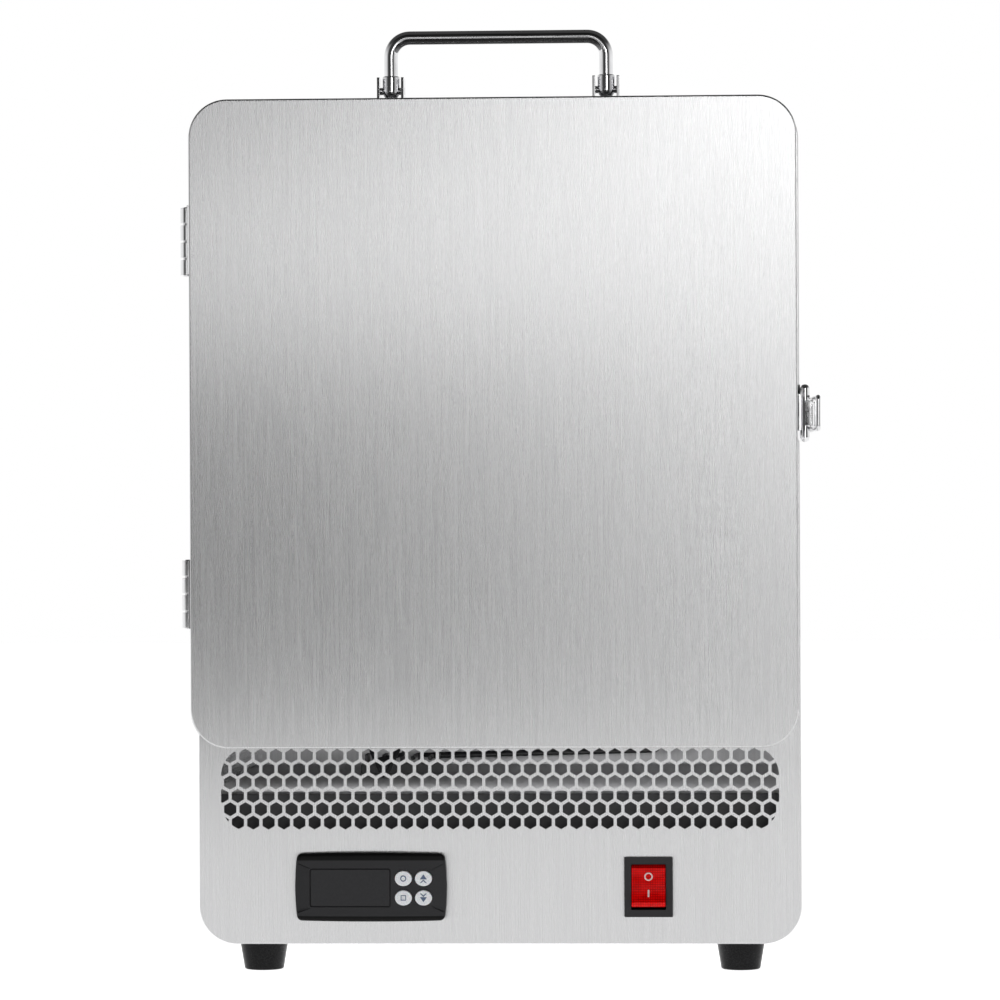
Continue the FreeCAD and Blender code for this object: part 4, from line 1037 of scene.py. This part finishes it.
def make_feet():
    for node in ("foot_front_left", "foot_front_right", "foot_rear_left", "foot_rear_right"):
        low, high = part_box(node)
        centre = (low + high) / 2
        bpy.ops.object.select_all(action="DESELECT")
        bpy.ops.mesh.primitive_cone_add(vertices=56, radius1=0.01025, radius2=0.01275, depth=high.z - low.z,
                                        location=centre)
        foot = named(node.replace("foot_", "pad_"))
        with editing(foot):
            pick(foot, "faces", facing((0, 0, -1), 0.99))
            bpy.ops.mesh.inset(thickness=0.0048)
            bpy.ops.mesh.extrude_region_move(TRANSFORM_OT_translate={"value": (0, 0, 0.006)})
        rim = foot.modifiers.new("Rim", "BEVEL")
        rim.width = 0.0009
        rim.segments = 4
        rim.angle_limit = math.radians(50)
        apply_all(foot)
        smooth(foot)
        dress(foot, "cabinet", "rubber")
        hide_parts(node)
    refined("foot_screw_set", "foot_screws", width=0.0003, finish="steel_fixings")


# ------------------------------------------------------------------ back

def make_back():
    sheet = refined("back_sheet", "rear_panel", width=0, finish="brushed_steel")
    sheet.data.materials.append(FINISHES["bay_steel"]())
    for face in sheet.data.polygons:
        face.material_index = 1 if face.normal.y < -0.9 else 0
    refined("mains_inlet", "power_inlet", width=0.0004, finish="black_plastic")
    refined("back_screw_set", "rear_panel_screws", width=0.0004, finish="steel_fixings")


# ------------------------------------------------------------------ chamber, air and heat

def make_chamber():
    refined("chamber_box", "chamber_liner", width=0, finish="inner_steel")
    refined("rack_left", "tray_rack_left", width=0.0003, finish="inner_steel")
    refined("rack_right", "tray_rack_right", width=0.0003, finish="inner_steel")
    refined("air_floor", "diffuser_floor", width=0, finish="inner_steel")
    coat("wool", "insulation_blanket", "door_insulation")
    for tier in range(1, 6):
        refined("wire_tray_%d" % tier, "drying_tray_%d" % tier, width=0, finish="wire_steel")


def make_air():
    refined("fan_body", "fan_frame", width=0.0006, finish="fan_metal")
    refined("fan_blades", "fan_impeller", width=0.0004, finish="black_plastic")
    refined("fan_grid", "fan_guard", width=0, finish="wire_steel")
    refined("heater_rod", "heater_element", width=0, finish="heater_tube")
    refined("heater_clamps", "heater_brackets", width=0.0003, finish="steel_fixings")
    refined("cutoff_switch", "thermal_cutoff", width=0.0003, finish="sensor")
    refined("air_probe", "temperature_probe", width=0.0006, finish="sensor")


def make_bay():
    coat("wire_cover", "wiring_harness")
    refined("bay_shelf", "baffle_shelf", width=0.0003, finish="bay_steel")
    # The shroud's near-black finish is partly painted shade for the dim lower bay behind the grille.
    refined("bay_shroud", "controls_shroud", width=0.0003, finish="dark_sheet")
    refined("terminal_strip", "terminal_block", width=0.0004, finish="black_plastic")
    make_cables()


def make_cables():
    """Two cables that come down in a V to the shelf behind the grille."""
    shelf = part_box("baffle_shelf")[1].z
    foot_x, cable_radius = -0.0700, 0.0013
    fall = ((1.3, 0.060, 0.0270), (1.0, 0.030, 0.0225), (0.75, 0.010, 0.0150), (0.20, 0.004, 0.0045),
            (0.05, 0.002, 0.0022))
    runs = []
    for spread in (-0.0118, 0.0085):
        path = [(foot_x + spread * across, depth, shelf + rise) for across, depth, rise in fall]
        runs.append(tube("cable", path, cable_radius))
    cables = joined("bay_cables", runs)
    smooth(cables, 60)
    dress(cables, "cabinet", "wire_cover")


# ------------------------------------------------------------------ stage

def softbox(name, size, place, aim, power, tall=None):
    light = bpy.data.lights.new(name, "AREA")
    light.shape = "RECTANGLE"
    light.size = size
    light.size_y = tall or size
    light.energy = power
    lamp = bpy.data.objects.new(name, light)
    bpy.context.scene.collection.objects.link(lamp)
    lamp.location = place
    lamp.rotation_euler = (Vector(aim) - Vector(place)).to_track_quat("-Z", "Y").to_euler()
    return lamp


def make_world(scene):
    """White for the camera. For light and reflections, a dark room with a white sweep behind the object."""
    world = bpy.data.worlds.new("studio_world")
    scene.world = world
    world.use_nodes = True
    nodes, links = world.node_tree.nodes, world.node_tree.links
    nodes.clear()
    place = nodes.new("ShaderNodeTexCoord")
    split = nodes.new("ShaderNodeSeparateXYZ")
    links.new(place.outputs["Generated"], split.inputs[0])
    levels = []
    for axis, stops in (("Y", [(0.0, 0.05), (0.14, 0.07), (0.30, 0.75), (0.50, 1.0)]),
                        ("Z", [(0.0, 0.9), (0.50, 1.0), (0.62, 0.85), (0.80, 0.06)])):
        lift = nodes.new("ShaderNodeMapRange")
        lift.inputs["From Min"].default_value = -1
        lift.inputs["From Max"].default_value = 1
        links.new(split.outputs[axis], lift.inputs["Value"])
        ramp = nodes.new("ShaderNodeValToRGB")
        while len(ramp.color_ramp.elements) < len(stops):
            ramp.color_ramp.elements.new(0.5)
        for element, (where, level) in zip(ramp.color_ramp.elements, stops):
            element.position = where
            element.color = (level, level, level, 1)
        links.new(lift.outputs["Result"], ramp.inputs["Fac"])
        levels.append(ramp.outputs["Color"])
    both = nodes.new("ShaderNodeMix")
    both.data_type = "RGBA"
    both.blend_type = "MULTIPLY"
    both.inputs["Factor"].default_value = 1
    links.new(levels[0], both.inputs["A"])
    links.new(levels[1], both.inputs["B"])
    room = nodes.new("ShaderNodeBackground")
    links.new(both.outputs["Result"], room.inputs["Color"])
    white = nodes.new("ShaderNodeBackground")
    white.inputs["Color"].default_value = (1, 1, 1, 1)
    rays = nodes.new("ShaderNodeLightPath")
    mix = nodes.new("ShaderNodeMixShader")
    links.new(rays.outputs["Is Camera Ray"], mix.inputs["Fac"])
    links.new(room.outputs[0], mix.inputs[1])
    links.new(white.outputs[0], mix.inputs[2])
    out = nodes.new("ShaderNodeOutputWorld")
    links.new(mix.outputs[0], out.inputs["Surface"])


CAMERA_PLACE = (0.112, -2.4325, 0.241)
CAMERA_ANGLES = (2.76, -0.15, -0.27)    # azimuth, drop and roll in degrees
CAMERA_LENS = 158.6

# Panels of a wall of light behind the camera: left, right, bottom and top edges, and radiance.
WALL_LIGHTS = (
    ("right_light_low", 0.25, 0.80, 0.02, 0.22, 2.71),
    ("right_light_middle", 0.25, 0.80, 0.22, 0.42, 3.64),
    ("right_light_high", 0.25, 0.80, 0.42, 0.62, 3.81),
    ("right_light_top", 0.25, 0.80, 0.62, 0.95, 6.55),
    ("centre_light_high", -0.05, 0.25, 0.42, 0.62, 0.42),
    ("centre_light_top", -0.05, 0.25, 0.62, 0.95, 0.61),
    ("left_light", -0.35, -0.05, 0.42, 0.62, 1.64),
    ("far_left_light", -0.90, -0.35, 0.42, 0.62, 1.13),
)


def make_stage():
    scene = bpy.context.scene
    scene.view_settings.view_transform = "Standard"
    make_world(scene)
    bpy.ops.object.select_all(action="DESELECT")
    bpy.ops.mesh.primitive_plane_add(size=8, location=(0, 1.65, 0))
    floor = named("studio_floor")
    recipe = Recipe("studio_paper")
    grain = recipe.noise(recipe.place, 60, 3.0)
    recipe.tint(grain, (0.86, 0.86, 0.86), (0.90, 0.90, 0.90))
    recipe.rough(recipe.span(grain, 0.75, 0.85))
    recipe.set(Emission_Color=(1, 1, 1, 1), Emission_Strength=0.90)
    floor.data.materials.append(recipe.material)

    for name, left, right, bottom, top, level in WALL_LIGHTS:
        wide, tall = right - left, top - bottom
        place = ((left + right) / 2, -2.62, (bottom + top) / 2)
        softbox(name, wide, place, (place[0], 0, place[2]), wide * tall * math.pi * level, tall)
    softbox("bay_light", 0.26, (0.0, -0.10, 0.1135), (0.0, 0.155, 0.098), 0.13, 0.006)

    eye = bpy.data.cameras.new("view_camera")
    eye.lens = CAMERA_LENS
    eye.sensor_width = 36
    eye.clip_end = 50
    camera = bpy.data.objects.new("view_camera", eye)
    scene.collection.objects.link(camera)
    azimuth, drop, roll = (math.radians(angle) for angle in CAMERA_ANGLES)
    camera.location = CAMERA_PLACE
    ahead = Vector((-math.sin(azimuth) * math.cos(drop), math.cos(azimuth) * math.cos(drop),
                    -math.sin(drop)))
    turn = ahead.to_track_quat("-Z", "Y").to_matrix() @ Matrix.Rotation(roll, 3, "Z")
    camera.rotation_euler = turn.to_euler()
    scene.camera = camera


# ------------------------------------------------------------------ operators

class DEHYDRATOR_OT_stage(Operator):
    """Set the floor, the lights and the camera"""
    bl_idname = "dehydrator.stage"
    bl_label = "Stage"

    def execute(self, context):
        make_stage()
        return {"FINISHED"}


class DEHYDRATOR_OT_wrap(Operator):
    """Model the cabinet's sheet-steel wrap"""
    bl_idname = "dehydrator.wrap"
    bl_label = "Wrap"

    def execute(self, context):
        make_wrap()
        return {"FINISHED"}


class DEHYDRATOR_OT_fascia(Operator):
    """Model the front sheet with its grille"""
    bl_idname = "dehydrator.fascia"
    bl_label = "Fascia"

    def execute(self, context):
        make_fascia()
        return {"FINISHED"}


class DEHYDRATOR_OT_door(Operator):
    """Model the door's pan, back panel and seal"""
    bl_idname = "dehydrator.door"
    bl_label = "Door"

    def execute(self, context):
        make_door()
        return {"FINISHED"}


class DEHYDRATOR_OT_handle(Operator):
    """Model the folding carrying handle"""
    bl_idname = "dehydrator.handle"
    bl_label = "Handle"

    def execute(self, context):
        make_handle()
        return {"FINISHED"}


class DEHYDRATOR_OT_hinges(Operator):
    """Model the hinges and the rivets"""
    bl_idname = "dehydrator.hinges"
    bl_label = "Hinges"

    def execute(self, context):
        make_hinges()
        return {"FINISHED"}


class DEHYDRATOR_OT_latch(Operator):
    """Model the toggle latch"""
    bl_idname = "dehydrator.latch"
    bl_label = "Latch"

    def execute(self, context):
        make_latch()
        return {"FINISHED"}


class DEHYDRATOR_OT_controller(Operator):
    """Model the controller's bezel, window and keys"""
    bl_idname = "dehydrator.controller"
    bl_label = "Controller"

    def execute(self, context):
        make_controller()
        return {"FINISHED"}


class DEHYDRATOR_OT_power_switch(Operator):
    """Model the rocker switch"""
    bl_idname = "dehydrator.power_switch"
    bl_label = "Power switch"

    def execute(self, context):
        make_switch()
        return {"FINISHED"}


class DEHYDRATOR_OT_feet(Operator):
    """Model the rubber feet"""
    bl_idname = "dehydrator.feet"
    bl_label = "Feet"

    def execute(self, context):
        make_feet()
        return {"FINISHED"}


class DEHYDRATOR_OT_back(Operator):
    """Model the rear sheet, the inlet and the screws"""
    bl_idname = "dehydrator.back"
    bl_label = "Back"

    def execute(self, context):
        make_back()
        return {"FINISHED"}


class DEHYDRATOR_OT_chamber(Operator):
    """Model the chamber, racks and trays"""
    bl_idname = "dehydrator.chamber"
    bl_label = "Chamber"

    def execute(self, context):
        make_chamber()
        return {"FINISHED"}


class DEHYDRATOR_OT_air(Operator):
    """Model the fan and the heater"""
    bl_idname = "dehydrator.air"
    bl_label = "Air and heat"

    def execute(self, context):
        make_air()
        return {"FINISHED"}


class DEHYDRATOR_OT_bay(Operator):
    """Model the shelf, shroud and wiring"""
    bl_idname = "dehydrator.bay"
    bl_label = "Lower bay"

    def execute(self, context):
        make_bay()
        return {"FINISHED"}


OPERATORS = (
    DEHYDRATOR_OT_stage,
    DEHYDRATOR_OT_wrap,
    DEHYDRATOR_OT_fascia,
    DEHYDRATOR_OT_door,
    DEHYDRATOR_OT_handle,
    DEHYDRATOR_OT_hinges,
    DEHYDRATOR_OT_latch,
    DEHYDRATOR_OT_controller,
    DEHYDRATOR_OT_power_switch,
    DEHYDRATOR_OT_feet,
    DEHYDRATOR_OT_back,
    DEHYDRATOR_OT_chamber,
    DEHYDRATOR_OT_air,
    DEHYDRATOR_OT_bay,
)


class DEHYDRATOR_PT_pieces(Panel):
    """The dehydrator's sizes and colours, and a button for each group of pieces"""
    bl_idname = "DEHYDRATOR_PT_pieces"
    bl_label = "Food dehydrator"
    bl_space_type = "VIEW_3D"
    bl_region_type = "UI"
    bl_category = "Dehydrator"

    def draw(self, context):
        for group in (context.scene.dehydrator_sizes, context.scene.dehydrator_colours):
            for name in group.__annotations__:
                self.layout.prop(group, name)
        for step in OPERATORS:
            self.layout.operator(step.bl_idname)


CLASSES = (DehydratorSizes, DehydratorColours, *OPERATORS, DEHYDRATOR_PT_pieces)


def register():
    for cls in CLASSES:
        bpy.utils.register_class(cls)
    bpy.types.Scene.dehydrator_sizes = PointerProperty(type=DehydratorSizes)
    bpy.types.Scene.dehydrator_colours = PointerProperty(type=DehydratorColours)


def unregister():
    del bpy.types.Scene.dehydrator_colours
    del bpy.types.Scene.dehydrator_sizes
    for cls in reversed(CLASSES):
        bpy.utils.unregister_class(cls)


def main():
    register()
    for step in OPERATORS:
        group, name = step.bl_idname.split(".")
        getattr(getattr(bpy.ops, group), name)()


if __name__ == "__main__":
    main()
